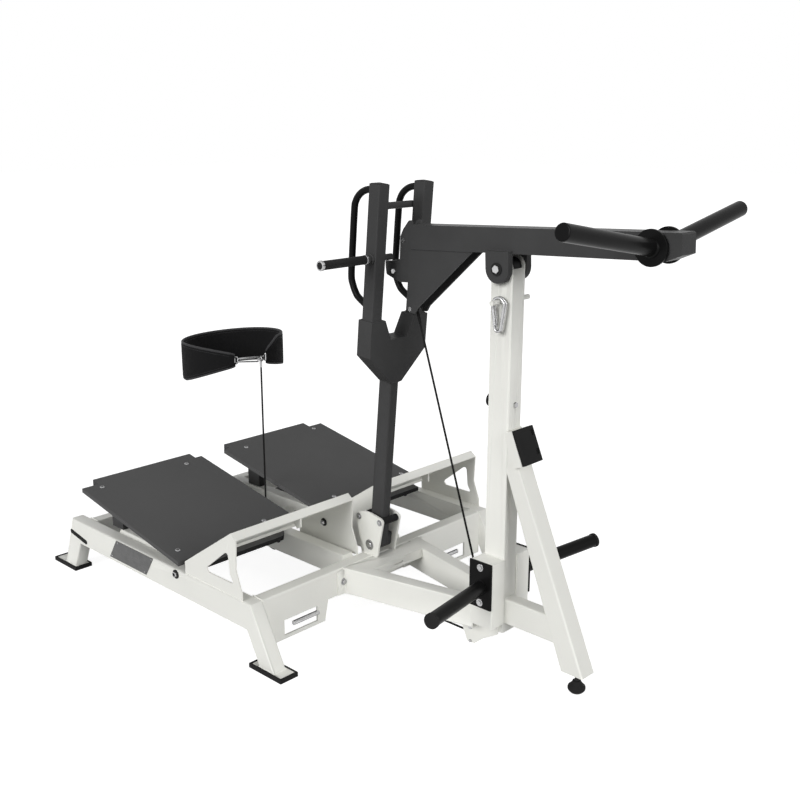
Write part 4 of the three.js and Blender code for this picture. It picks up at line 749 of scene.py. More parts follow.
def make_feet():
    """Rubber feet, the levelling foot, the grip strips on the rear legs and the bare name plate."""
    for end in ("rear", "front"):
        for name, _ in SIDES:
            dress(f"rubber_foot_{end}_{name}", "frame", "rubber", edge=0.0018)
    bm = bmesh.new()
    low, high = (322.5, 0, 0), (322.5, 0, 71)
    turned(bm, [
        (0, 0, 0), (0, 0, 18), (0, 1, 20), (0, 6, 25), (0, 10, 28), (0, 13, 29), (0, 19, 29), (0, 22, 28),
        (0, 27, 23), (0, 33, 17.5), (0, 38, 14.6), (0, 41, 13.6), (0, 41, 0),
    ], low, high, 48)
    thread = [(0, 39, 0), (0, 39, 7)]
    for turn in range(10):
        thread += [(0, 40 + turn * 3, 7), (0, 41.5 + turn * 3, 6.2)]
    turned(bm, [*thread, (0, 70, 7), (0, 70, 0)], low, high, 24, 1)
    hexagon_head(bm, (low[0], 0, 61), (0, 0, 1), 11, 9, index=1, washer=False)
    settle("levelling_foot_turned", bm, ["rubber", "nylon"], "frame", ("levelling_foot",))
    strip_width = 9
    for name, side in SIDES:
        bm = bmesh.new()
        ring = []
        start, end = Vector((-1725, 168)), Vector((-1601, 146))
        run = (end - start).normalized()
        across = Vector((-run.y, run.x))
        for centre, turn in ((end - run * strip_width, -90), (start + run * strip_width, 90)):
            for i in range(13):
                a = math.radians(turn + 180 * i / 12)
                ring.append(centre + (run * math.cos(a) + across * math.sin(a)) * strip_width)
        rows = []
        for depth, share in ((0.1, 1.0), (1.2, 1.0), (1.9, 0.85)):
            row = []
            for q in ring:
                along = max(strip_width, min((end - start).length - strip_width, (q - start).dot(run)))
                nearest = start + run * along
                q = nearest + (q - nearest) * share
                row.append(bm.verts.new(place(q.x, side * (RAIL_Y + depth), q.y)))
            rows.append(row)
        skin(bm, rows)
        settle(f"leg_strip_{name}", bm, ["rubber"], "frame")
    dress("name_plate", "frame", "brushed_plate", edge=0.0004)
    bm = bmesh.new()
    for x, z in ((-1366, 214), (-1140, 214), (-1190, 150), (-1416, 150)):
        socket_head(bm, (x, -623.9, z), (0, -1, 0), 3.2, 1.2)
    settle("name_plate_rivets", bm, ["zinc"], "frame")


def board_top(x):
    """Height of a board's upper face."""
    return BOARD_EDGE_TOP_Z - BOARD_SLOPE * (x - BOARD_EDGE_X)


def on_axle(y):
    """A point of a board's axle bolt."""
    return AXLE_X, y, AXLE_Z


def make_boards():
    """Foot boards with a grained skin, an inlaid edge line, screws and their axle bolts."""
    upright = Vector((BOARD_SLOPE, 0, 1)).normalized()
    for name, side in SIDES:
        dress(f"board_{name}", "frame", "board_skin", edge=0.0016, paint=[
            ("black_coat", lambda x, y, z: z < board_top(x) - 16.9 or x < -1631),
            ("rubber", lambda x, y, z: x > BOARD_EDGE_X + 2),
        ])
        bm = bmesh.new()
        for x, y in ((-1560, 159), (-1560, 560), (-1020, 586), (-1020, 186)):
            socket_head(bm, (x, side * y, board_top(x) + 0.2), upright, 9.5, 2.6)
        for y, way in ((99.7, -1), (622.3, 1)):
            face, seat, tip = (on_axle(side * (y + way * out)) for out in (0, 3, 10))
            turned(bm, [(0, 0, 9), (0, 0, 17), (0, 2.4, 17), (0, 3, 16.3), (0, 3, 9)], face, seat, index=1)
            hexagon_head(bm, seat, (0, side * way, 0), 11, 7, washer=False)
            turned(bm, [(0, 0, 7), (0, 0.5, 8), (0, 9, 8), (0, 10, 7), (0, 10, 0)], face, tip, 24)
        turned(bm, rod_profile(8), on_axle(side * 90), on_axle(side * 630), 24)
        settle(f"board_fasteners_{name}", bm, ["zinc", "nylon"], "frame", (f"board_axle_{name}",))


def make_base():
    """The rack fork's base: two cheeks, the pin and the two rollers."""
    for name, side in SIDES:
        dress(f"fork_base_{name}", "frame", "white_coat", edge=0.0012, corner=0.012)
    bm = bmesh.new()
    turned(bm, rod_profile(9), (FORK_X, -54, FORK_Z), (FORK_X, 54, FORK_Z), 32)
    for side in (-1, 1):
        hexagon_head(bm, (FORK_X, side * 48.3, FORK_Z), (0, side, 0), 13, 5)
    settle("fork_pin_turned", bm, ["zinc"], "frame", ("fork_pin",))
    for label, x, z, radius in (("rear", -629.3, ROLLER_Z, 10), ("front", -523, ROLLER_Z, 13)):
        bm = bmesh.new()
        turned(bm, rod_profile(radius, 1.5), (x, -39.7, z), (x, 39.7, z))
        turned(bm, rod_profile(5, 0.8), (x, -54, z), (x, 54, z), 20, 1)
        for side in (-1, 1):
            hexagon_head(bm, (x, side * 48.2, z), (0, side, 0), 8, 5, 1)
        settle(f"stop_roller_{label}_turned", bm, ["rubber", "zinc"], "frame", (f"stop_roller_{label}",))


def square_tube(bm, low, high, turn, radius, index=0):
    """Adds an upright tube between drawn fork corners, its four long corners rounded."""
    (u0, y0, w0), (u1, y1, w1) = low, high
    ring = []
    for cu, cy, start in ((u1 - radius, y1 - radius, 0), (u0 + radius, y1 - radius, 90),
                          (u0 + radius, y0 + radius, 180), (u1 - radius, y0 + radius, 270)):
        for i in range(6):
            a = math.radians(start + 90 * i / 5)
            ring.append((cu + radius * math.cos(a), cy + radius * math.sin(a)))
    rows = []
    for w, inset in ((w0, 1.0), (w0 + 1, 0.0), (w1 - 1, 0.0), (w1, 1.0)):
        mu, my = (u0 + u1) / 2, (y0 + y1) / 2
        su, sy = 1 - 2 * inset / (u1 - u0), 1 - 2 * inset / (y1 - y0)
        rows.append([bm.verts.new(place(*turn(mu + (u - mu) * su, my + (y - my) * sy, w))) for u, y in ring])
    skin(bm, rows, index)


# The curved handle's bends: share of its reach behind the upright, share of its height
HANDLE = [
    (0.093, 1), (0.402, 0.99), (0.632, 0.966), (0.823, 0.924), (0.939, 0.871), (0.98, 0.8),
    (0.981, 0.457), (0.97, 0.241), (0.885, 0.165), (0.735, 0.1), (0.572, 0.062), (0.093, 0),
]
HANDLE_Y, HANDLE_FOOT_W, HANDLE_HEIGHT, HANDLE_REACH = 108, 905, 399, 108


def on_grip(y):
    """A point of the grip bar's axis."""
    return on_fork(GRIP_U, y, GRIP_W)


def make_fork():
    """The black rack fork: stem, yoke box, uprights with curved handles, grips and the rung."""
    dress("fork_stem", "fork", "black_coat", tube=long_edges(0.3))
    dress("fork_yoke", "fork", "black_coat", edge=0.0014)
    for name, side in SIDES:
        bm = bmesh.new()
        ys = sorted((side * 83, side * 133))
        square_tube(bm, (-20, ys[0], 742), (30, ys[1], 1324.5), on_fork, 5)
        square_tube(bm, (-16.5, ys[0] + 3.5, 1323), (26.5, ys[1] - 3.5, 1326), on_fork, 4, index=1)
        bends = [
            place(*on_fork(-HANDLE_REACH * back, side * HANDLE_Y, HANDLE_FOOT_W + HANDLE_HEIGHT * up))
            for back, up in HANDLE
        ]
        path = smooth_path(bends, 9)
        pipe(bm, path, 0.012, 20, index=2)
        turned(bm, rod_profile(11, 1.2), on_grip(side * 35.7), on_grip(side * 350), 32)
        turned(bm, [(0, 0, 11), (0, 0, 16.5), (0, 1.5, 18), (1, -1.5, 18), (1, 0, 16.5), (1, 0, 11)],
               on_grip(side * 133), on_grip(side * 141))
        settle(f"fork_upright_{name}_shaped", bm, ["black_coat", "nylon", "horn_coat"], "fork",
               (f"fork_upright_{name}",))
        bm = bmesh.new()
        ribs = [(0, 0, 11.5), (0, 0, 13.5), (0, 1, 15)]
        for i in range(3):
            ribs += [(0, 5 + i * 6, 15), (0, 6 + i * 6, 14.2), (0, 8 + i * 6, 14.2), (0, 9 + i * 6, 15)]
        ribs += [(1, -14, 15), (1, -14, 0)]
        turned(bm, ribs, on_grip(side * 152), on_grip(side * 362))
        turned(bm, [(0, 0, 15), (0, 0.2, 16.6), (0, 1, 17), (0, 8.6, 17), (0, 9.6, 16), (0, 9.6, 12)],
               on_grip(side * 352), on_grip(side * 362), index=1)
        turned(bm, [(0, 0, 13.2), (0, 1.2, 12.6), (0, 1.6, 11), (0, 1.6, 0)],
               on_grip(side * 360.2), on_grip(side * 362), index=2)
        turned(bm, [(0, 0, 15), (0, 0, 16), (0, 1, 16.8), (1, -1, 16.8), (1, 0, 16), (1, 0, 15)],
               on_grip(side * 154), on_grip(side * 163), index=1)
        settle(f"grip_{name}_turned", bm, ["grip_foam", "zinc", "nylon"], "fork", (f"grip_{name}",))
    bm = bmesh.new()
    turned(bm, rod_profile(12, 2), on_fork(-32.3, -98, 1243), on_fork(-32.3, 98, 1243))
    settle("fork_rung_turned", bm, ["black_coat"], "fork", ("fork_rung",))
    weld_beads("fork_welds", "fork", "black_coat", [
        *both_sides(on_fork(-30, 20.5, 632), on_fork(-30, 20.5, 633)),
        *both_sides(on_fork(30, 20.5, 632), on_fork(30, 20.5, 633)),
        [on_fork(-30.6, -20, 631.5), on_fork(-30.6, 20, 631.5)],
        [on_fork(30.6, -20, 631.5), on_fork(30.6, 20, 631.5)],
        *both_sides(on_fork(-29, 20.4, 631.5), on_fork(29, 20.4, 631.5)),
        *both_sides(on_fork(-20.3, 84, 866.4), on_fork(-20.3, 132, 866.4)),
        *both_sides(on_fork(30.3, 84, 866.4), on_fork(30.3, 132, 866.4)),
    ])


def make_lever():
    """The black lever: beam, lugs, gusset and hook cheeks."""
    dress(
        "lever_beam", "lever", "black_coat", edge=0.0022,
        paint=[("zinc", lambda x, y, z: 34.3 < abs(y) < 38 and math.hypot(x - EYE_X, z - EYE_Z) < 10)],
    )
    for name, side in SIDES:
        dress(f"hook_cheek_{name}", "lever", "black_coat", edge=0.0012, corner=0.012, paint=[
            ("zinc", lambda x, y, z: abs(y) > 26.2),
        ])
    weld_beads("lever_welds", "lever", "black_coat", [
        *both_sides(on_lever(-44, 37.8, 54.6), on_lever(44, 37.8, 54.6)),
        *both_sides(on_lever(-376, 34.3, 45.7), on_lever(-114, 34.3, 45.7)),
    ])
    bm = bmesh.new()
    turned(bm, rod_profile(10, 1.5), (0, -67, PIVOT_Z), (0, 67, PIVOT_Z), 32)
    for side in (-1, 1):
        turned(bm, [(0, 0, 10), (0, 0, 19), (0, 1.6, 20.5), (0, 3, 20.5), (0, 3.4, 19.6), (0, 3.4, 10)],
               (0, side * 58.2, PIVOT_Z), (0, side * 62, PIVOT_Z), 48, 1)
        hexagon_head(bm, (0, side * 61.4, PIVOT_Z), (0, side, 0), 13.5, 6, washer=False)
    turned(bm, [(0, 0, 10), (0, 0, 30.5), (0, 1.5, 32), (1, -1.5, 32), (1, 0, 30.5), (1, 0, 10)],
           (0, -27.2, PIVOT_Z), (0, 27.2, PIVOT_Z), 64, 1)
    settle("pivot_pin_turned", bm, ["zinc", "nylon"], "frame", ("pivot_pin",))


def make_horns():
    """Weight horns on the lever and storage horns at the mast's foot."""
    for name, side in SIDES:
        bm = bmesh.new()
        root = (HORN_X, side * 37.3, HORN_Z)
        turned(bm, [(0, 0, 0), (0, 0, 34), (0, 5, 34), (0, 5, 50), (0, 6.5, 52), (0, 12.5, 52), (0, 14, 50.4),
                    (0, 14, 25), (0, 14, 0)], root, (HORN_X, side * 51.3, HORN_Z), 64)
        turned(bm, [(0, 0, 0), (0, 0, 24), (1, -4, 24), (1, -1.4, 23), (1, -0.3, 21), (1, 0, 19), (1, 0, 0)],
               (HORN_X, side * 44, HORN_Z), (HORN_X - 0.8, side * 465, HORN_Z + 75), 56)
        turned(bm, [(0, 0, 24), (0, 0, 29), (0, 2, 27), (0, 5, 24.6), (0, 5, 24)],
               (HORN_X, side * 51.2, HORN_Z + 1), (HORN_X - 0.1, side * 60, HORN_Z + 2.6), 56)
        settle(f"lever_horn_{name}_turned", bm, ["horn_coat"], "lever", (f"lever_horn_{name}",))
        bm = clean_copy(f"storage_horn_{name}")
        outer = [f for f in bm.faces if abs(drawn(f.calc_center_median())[1]) > 107.6]
        bmesh.ops.delete(bm, geom=outer, context="FACES")
        edges = [e for e in bm.edges if e.is_boundary]
        bmesh.ops.holes_fill(bm, edges=edges, sides=0)
        rounded(bm, 0.0014, lambda e: e.calc_length() > 0.004, 2)
        start = Vector((3, side * 103.8, 300))
        end = Vector((83, side * 440, 326))
        away = (end - start).normalized()
        turned(bm, [(0, 0, 0), (0, 0, 23), (1, -12, 23), (1, -12, 0)], start, end, 56)
        turned(bm, [(0, 0, 0), (0, 0, 24), (0, 1, 25), (0, 10.2, 25), (0, 11.5, 23.6), (0, 12, 21), (0, 12, 0)],
               end - away * 12, end, 56, 1)
        turned(bm, [(0, 3.4, 23), (0, 3.4, 28), (0, 5.5, 26), (0, 9, 23.6), (0, 9, 23)], start, end, 56)
        for z in (368, 244):
            hexagon_head(bm, (0, side * 107.3, z), (0, side, 0), 8.6, 5, 2)
        settle(f"storage_horn_{name}_turned", bm, ["horn_coat", "nylon", "zinc"], "frame",
               (f"storage_horn_{name}",))


def pulley_form(bm, x, z):
    """Adds a grooved pulley with a hub and a recessed web."""
    turned(bm, [
        (0, 0, 8.3), (0, 0, 14), (0, 3, 15), (0, 3, 34), (0, 0.6, 36), (0, 0, 38), (0, 0, 47.6), (0, 1, 48.7),
        (0, 2, 48.4), (0, 5.2, 43), (0, 6.6, 42.2), (0, 9, 42), (0, 11.4, 42.2), (0, 12.8, 43), (0, 16, 48.4),
        (0, 17, 48.7), (0, 18, 47.6), (0, 18, 38), (0, 17.4, 36), (0, 15, 34), (0, 15, 15), (0, 18, 14),
        (0, 18, 8.3), (0, 0, 8.3),
    ], (x, -9, z), (x, 9, z), 72)


def arc_points(centre_x, radius, start, end, steps):
    """Drawn points round a pulley, from one angle to another."""
    turns = [math.radians(start + (end - start) * i / steps) for i in range(steps + 1)]
    return [(centre_x + radius * math.cos(a), 0, PULLEY_Z + radius * math.sin(a)) for a in turns]


def loop_points(x, z, wide, high, count):
    """Points round a ring that stands across Y."""
    turns = [2 * math.pi * k / count for k in range(count)]
    return [place(x + wide * math.cos(a), 0, z + high * math.sin(a)) for a in turns]


def make_pulleys():
    """Pulleys, their bracket and hanger, and the cable in its four moving lengths."""
    for node, x in (("mast_pulley", MAST_PULLEY_X), ("centre_pulley", CENTRE_PULLEY_X)):
        bm = bmesh.new()
        pulley_form(bm, x, PULLEY_Z)
        settle(f"{node}_turned", bm, ["nylon"], node, (node,))
    dress("pulley_bracket", "frame", "white_coat", edge=0.0009, paint=[
        ("zinc", lambda x, y, z: abs(y) > 39.2 or abs(y) < 33.5),
    ])
    dress("pulley_hanger", "frame", "white_coat", edge=0.0012, paint=[
        ("zinc", lambda x, y, z: z < 118 and (abs(y) > 20.3 or abs(y) < 13.6)),
    ])
    radius, wrap = 0.0037, 45.5
    away = Vector((EYE_X - MAST_PULLEY_X, EYE_Z - PULLEY_Z))
    tangent = math.degrees(math.atan2(away.y, away.x) - math.acos(wrap / away.length))

    bm = bmesh.new()
    route = [place(*p) for p in arc_points(MAST_PULLEY_X, wrap, tangent - 6.5, -90, 24)]
    route += [place(MAST_PULLEY_X - 55 * i, 0, PULLEY_Z - wrap) for i in range(1, 20)]
    route += [place(*p) for p in arc_points(CENTRE_PULLEY_X, wrap, -90, -180, 20)]
    pipe(bm, route, radius)
    settle("under_cable_run", bm, ["cable_jacket"], "frame", ("under_cable",), angle=60)

    start = Vector(arc_points(MAST_PULLEY_X, wrap, tangent, tangent, 1)[0])
    eye = Vector((EYE_X, 0, EYE_Z))
    way = (eye - start).normalized()
    bm = bmesh.new()
    route = [place(*p) for p in arc_points(MAST_PULLEY_X, wrap, tangent - 8, tangent, 5)]
    route += [place(*(start + (eye - way * 60 - start) * i / 12)) for i in range(1, 13)]
    pipe(bm, route, radius)
    settle("lever_cable_lower_run", bm, ["cable_jacket"], "cable_lower", ("lever_cable_lower",), angle=60)

    bm = bmesh.new()
    pipe(bm, [place(*(eye - way * (420 - 34 * i))) for i in range(13)], radius * 0.9)
    turned(bm, [(0, 0, 3), (0, 1, 5), (0, 43, 5.4), (0, 44, 4), (0, 44, 0)], eye - way * 56, eye - way * 12, 24)
    pipe(bm, loop_points(eye.x, eye.z, 8.6, 8.6, 28), 0.0033, 12, closed=True)
    settle(
        "lever_cable_upper_run", bm, ["cable_jacket", "zinc"], "cable_upper", ("lever_cable_upper",),
        angle=60,
    )

    bm = bmesh.new()
    foot = place(RISER_X, 0, RISER_LOW_Z)
    rise = place(RISER_X, 0, RISER_TOP_Z) - foot
    pipe(bm, [foot + rise * i / 24 for i in range(25)], radius)
    riser = settle("riser_cable_run", bm, ["cable_jacket"], "frame", ("riser_cable",), angle=60)
    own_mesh(riser)


def make_rubber():
    """Stop pad with its bolts, and the mast's bumper."""
    dress("stop_pad", "frame", "rubber", edge=0.002)
    brace_top, brace_foot = Vector((MAST_FACE_X, 0, 830)), Vector((365, 0, 72))
    run = (brace_foot - brace_top).normalized()
    out = Vector((-run.z, 0, run.x))
    pad_length, pad_y, pad_face, pad_start = 118, 33, 31.7, -5 / run.z
    bm = bmesh.new()
    for share in (0.19, 0.72):
        at = brace_top + Vector((0, pad_y, 0)) + run * (pad_length * share + pad_start) + out * pad_face
        socket_head(bm, tuple(at), out, 7.6, 3.5)
    settle("stop_pad_bolts", bm, ["nylon"], "frame")
    bm = bmesh.new()
    turned(bm, [(0, 0, 0), (0, 0, 22), (0, 1.5, 24), (0, 14, 24), (0, 19, 22.4), (0, 21.4, 18), (0, 22, 12),
                (0, 22, 6), (0, 18, 5.5), (0, 18, 0)],
           (-MAST_FACE_X, 0, BUMPER_Z), (-MAST_FACE_X - 22, 0, BUMPER_Z), 48)
    settle("mast_bumper_turned", bm, ["rubber"], "frame", ("mast_bumper",))


def karabiner(bm, start, end, wide, narrow, wire, across, gate_side=1):
    """Adds a pear-shaped snap hook between two drawn points: a bent wire with a sprung gate and its rivet."""
    a, b = Vector(start), Vector(end)
    way = (b - a).normalized()
    side = (Vector(across) - way * Vector(across).dot(way)).normalized()
    length = (b - a).length
    big, small = wide / 2 - wire, narrow / 2 - wire
    loop = []
    for i in range(9):
        t = math.radians(180 - 22.5 * i)
        loop.append(a + way * (wire + big - big * math.sin(t)) + side * big * math.cos(t))
    for i in range(9):
        t = math.radians(22.5 * i)
        loop.append(b - way * (wire + small - small * math.sin(t)) + side * small * math.cos(t))
    pipe(bm, smooth_path([place(*p) for p in loop], 4, closed=True), wire / 1000, closed=True)
    first = a + way * (wire + big + length * 0.1) + side * (big * 0.98) * gate_side
    last = b - way * (wire + small + length * 0.06) + side * (small * 1.02) * gate_side
    turned(bm, [
        (0, 0, 0), (0, 0, wire * 0.9), (0, 1, wire * 1.22), (1, -1, wire * 1.22), (1, 0, wire * 0.9), (1, 0, 0),
    ], first, last, 20)
    rivet = way.cross(side) * wire * 1.5
    for at in (first, last):
        turned(bm, [
            (0, 0, 0), (0, 0, wire * 0.5), (0, 0.6, wire * 0.62),
            (1, -0.6, wire * 0.62), (1, 0, wire * 0.5), (1, 0, 0),
        ], at - rivet, at + rivet, 14)


def make_snap_hooks():
    """Two steel snap hooks hung on the mast's near peg."""
    for index in (0, 1):
        y = -48 - 11 * index
        bm = bmesh.new()
        karabiner(bm, (10, y, 1259.5), (6 + 3 * index, y, 1145.5), 52, 30, 4, (1, 0, 0), -1)
        settle(f"snap_hook_{index + 1}_bent", bm, ["zinc"], "snap_hooks", (f"snap_hook_{index + 1}",), angle=50)


# The belt is open to the front: its two tips stand at these angles round its centre
BELT_CENTRE = (-1379, -30)
BELT_RADIUS = 204
BELT_MIDDLE_RADIUS = BELT_RADIUS - 4.5
BELT_LENGTH = 1.12
FAR_TIP, NEAR_TIP = 2, 326


def belt_edges(degrees):
    """Low and high edge of the belt at an angle round it, in drawn millimetres."""

    def eased(value, width):
        return 1 - (1 - min(max(value / width, 0), 1)) ** 1.3

    angle = math.radians(degrees)
    top = 936.4 + BELT_RADIUS * (0.079 * math.cos(angle) + 0.022 * math.sin(angle))
    full_low = top - 140 - 7 * (1 + math.cos(math.radians(degrees - 250)))
    near = eased(NEAR_TIP - degrees, 72)
    top_share = near * eased(degrees - FAR_TIP, 24)
    low_share = near * eased(degrees - FAR_TIP, 60)
    low = 849.5 + (full_low - 849.5) * low_share
    high = 904.5 + (top - 904.5) * top_share
    return low, high


# Half thickness of the belt, as a share, against the distance from its edge in millimetres
BELT_SECTION = [(0, 0.0), (0.5, 0.45), (1.8, 0.8), (4, 0.92), (6.6, 0.86), (7.6, 0.7), (8.6, 0.84), (12, 0.97)]


def belt_point(degrees, height, depth):
    """A point of the belt: height above its low edge, and depth inward from its middle surface."""
    radius = BELT_MIDDLE_RADIUS - depth
    angle = math.radians(degrees)
    return place(BELT_CENTRE[0] + radius * math.cos(angle), BELT_CENTRE[1] + radius * math.sin(angle), height)


def belt_sag(degrees):
    """How far the padding stands in or out of the true circle."""
    return 0.5 * math.sin(math.radians(degrees * 5 + 20))


def flat_uv(bm):
    """Lays the weave over a mesh as seen from the side."""
    layer = bm.loops.layers.uv.new("UVMap")
    for face in bm.faces:
        for loop in face.loops:
            loop[layer].uv = (loop.vert.co.x, loop.vert.co.z)


def make_belt():
    """The padded hip belt: crowned band, bound edges, stitch rows and sewn end straps."""
    half = shapes().belt_thickness * 500
    bm = bmesh.new()
    uv_layer = bm.loops.layers.uv.new("UVMap")
    steps = 150
    rings = []
    marks = []
    for i in range(steps + 1):
        degrees = FAR_TIP + 0.6 + (NEAR_TIP - FAR_TIP - 1.2) * i / steps
        low, high = belt_edges(degrees)
        from_end = min(i, steps - i)
        thin = (0.25, 0.62, 0.88)[from_end] if from_end < 3 else 1.0
        pinch = (2.4, 0.9, 0.2)[from_end] if from_end < 3 else 0
        low, high = low + pinch, high - pinch
        span = high - low
        sag = belt_sag(degrees)
        middle = [(span * share, 1.0 + 0.05 * math.sin(math.pi * share)) for share in (0.25, 0.375, 0.5)]
        climb = BELT_SECTION + middle
        profile = climb + [(span - d, s) for d, s in climb[:-1][::-1]]
        ring = []
        mark = []
        for d, s in profile:
            ring.append(bm.verts.new(belt_point(degrees, low + d, -s * half * thin + sag)))
            mark.append(d)
        for d, s in profile[1:-1][::-1]:
            ring.append(bm.verts.new(belt_point(degrees, low + d, s * half * thin + sag)))
            mark.append(d)
        rings.append(ring)
        marks.append(mark)
    count = len(rings[0])
    profile_count = 2 * (len(BELT_SECTION) + 3) - 1
    step = BELT_LENGTH / steps
    binding = 4.5
    for i, (a, b) in enumerate(zip(rings, rings[1:])):
        for k in range(count):
            j = (k + 1) % count
            face = bm.faces.new((a[k], a[j], b[j], b[k]))
            heights = (marks[i][k], marks[i][j])
            span = marks[i][profile_count - 1]
            # faces within the binding's width take the binding finish, whose lighter tone is partly a painted
            # highlight on the rim
            bound = min(heights) < binding or max(heights) > span - binding
            face.material_index = 1 if bound else 0
            along = i * step
            ahead = along + step
            corners = ((along, heights[0]), (along, heights[1]), (ahead, heights[1]), (ahead, heights[0]))
            for loop, (u, v) in zip(face.loops, corners):
                loop[uv_layer].uv = (u, v / 1000)
    bm.faces.new(rings[0][::-1])
    bm.faces.new(rings[-1])
    belt = settle("hip_belt_padded", bm, ["belt_webbing", "belt_binding"], "belt", ("hip_belt",), angle=70)
    bm = bmesh.new()
    for inset in (7.6, 15.0):
        for side in (-1, 1):
            for edge in (0, 1):
                position = FAR_TIP + 7
                while position < NEAR_TIP - 7:
                    ends = []
                    for degrees in (position, position + 1.05):
                        low, high = belt_edges(degrees)
                        level = low + inset if edge == 0 else high - inset
                        share = 0.74 if inset < 8 else 1.0
                        ends.append(belt_point(degrees, level, side * half * share + belt_sag(degrees)))
                    pipe(bm, [ends[0], ends[0].lerp(ends[1], 0.5), ends[1]], 0.00045, 5)
                    position += 1.5
    flat_uv(bm)
    settle("belt_stitches", bm, ["thread"], "belt", angle=60)
    for name, tip, inward in (("near", NEAR_TIP, -1), ("far", FAR_TIP, 1)):
        bm = bmesh.new()
        rows = []
        half_width = 15
        lift = half * 1.06 + 0.9
        for i in range(14):
            degrees = tip + inward * (16 - 16.4 * i / 13)
            low, high = belt_edges(min(max(degrees, FAR_TIP), NEAR_TIP))
            middle = (low + high) / 2
            rows.append((degrees, middle - half_width, middle + half_width))
        for side in (-1, 1):
            strip = []
            for degrees, low, high in rows:
                ring = []
                for level, out in ((low, 0.2), (low + 1, 1), (high - 1, 1), (high, 0.2)):
                    ring.append(bm.verts.new(belt_point(degrees, level, side * (lift - 1.2 + 1.2 * out))))
                for level in (high - 1, low + 1):
                    ring.append(bm.verts.new(belt_point(degrees, level, side * (lift - 1.6))))
                strip.append(ring)
            skin(bm, strip)
        flat_uv(bm)
        settle(f"belt_end_strap_{name}", bm, ["belt_webbing"], "belt", angle=50)


def make_belt_hooks():
    """Snap hooks and rings that join the belt's two ends to the top of the cable."""
    top = Vector((RISER_X, 0, RISER_TOP_Z))
    square = [(-13, -10), (-13, 10), (-9, 13), (9, 13), (13, 10), (13, -10), (9, -13), (-9, -13)]
    for name, tip, y in (("near", NEAR_TIP, -14), ("far", FAR_TIP, 3)):
        angle = math.radians(tip)
        end = Vector((
            BELT_CENTRE[0] + BELT_MIDDLE_RADIUS * math.cos(angle),
            BELT_CENTRE[1] + BELT_MIDDLE_RADIUS * math.sin(angle),
            877,
        ))
        start = Vector((top.x, y, top.z + 9))
        way = (end - start).normalized()
        ring_centre = end - way * 2
        corners = [place(*(ring_centre + Vector((0, 0, v)) + way * (u * 0.55))) for u, v in square]
        bm = bmesh.new()
        pipe(bm, smooth_path(corners, 4, closed=True), 0.0024, 12, closed=True)
        karabiner(bm, start - way * 5, end - way * 5, 24, 18, 3.2, (0, 0, 1))
        if name == "far":
            turned(bm, [(0, 0, 0), (0, 0, 4.4), (0, 1, 5.2), (1, -1, 5.2), (1, 0, 4.2), (1, 0, 0)],
                   (top.x, 0, top.z - 26), (top.x, 0, top.z + 2), 24)
            pipe(bm, loop_points(top.x, top.z + 8, 7.5, 8.5, 24), 0.0026, 12, closed=True)
        settle(f"belt_hook_{name}_bent", bm, ["zinc"], "belt", (f"belt_hook_{name}",), angle=50)


def seen_directly(nodes, links):
    """A mask of the rays that show the background itself: to the camera, in gloss and through glass."""
    path = nodes.new("ShaderNodeLightPath")
    seen = arithmetic(nodes, links, "MAXIMUM", path.outputs["Is Camera Ray"], path.outputs["Is Glossy Ray"])
    return arithmetic(nodes, links, "MAXIMUM", seen, path.outputs["Is Transmission Ray"])


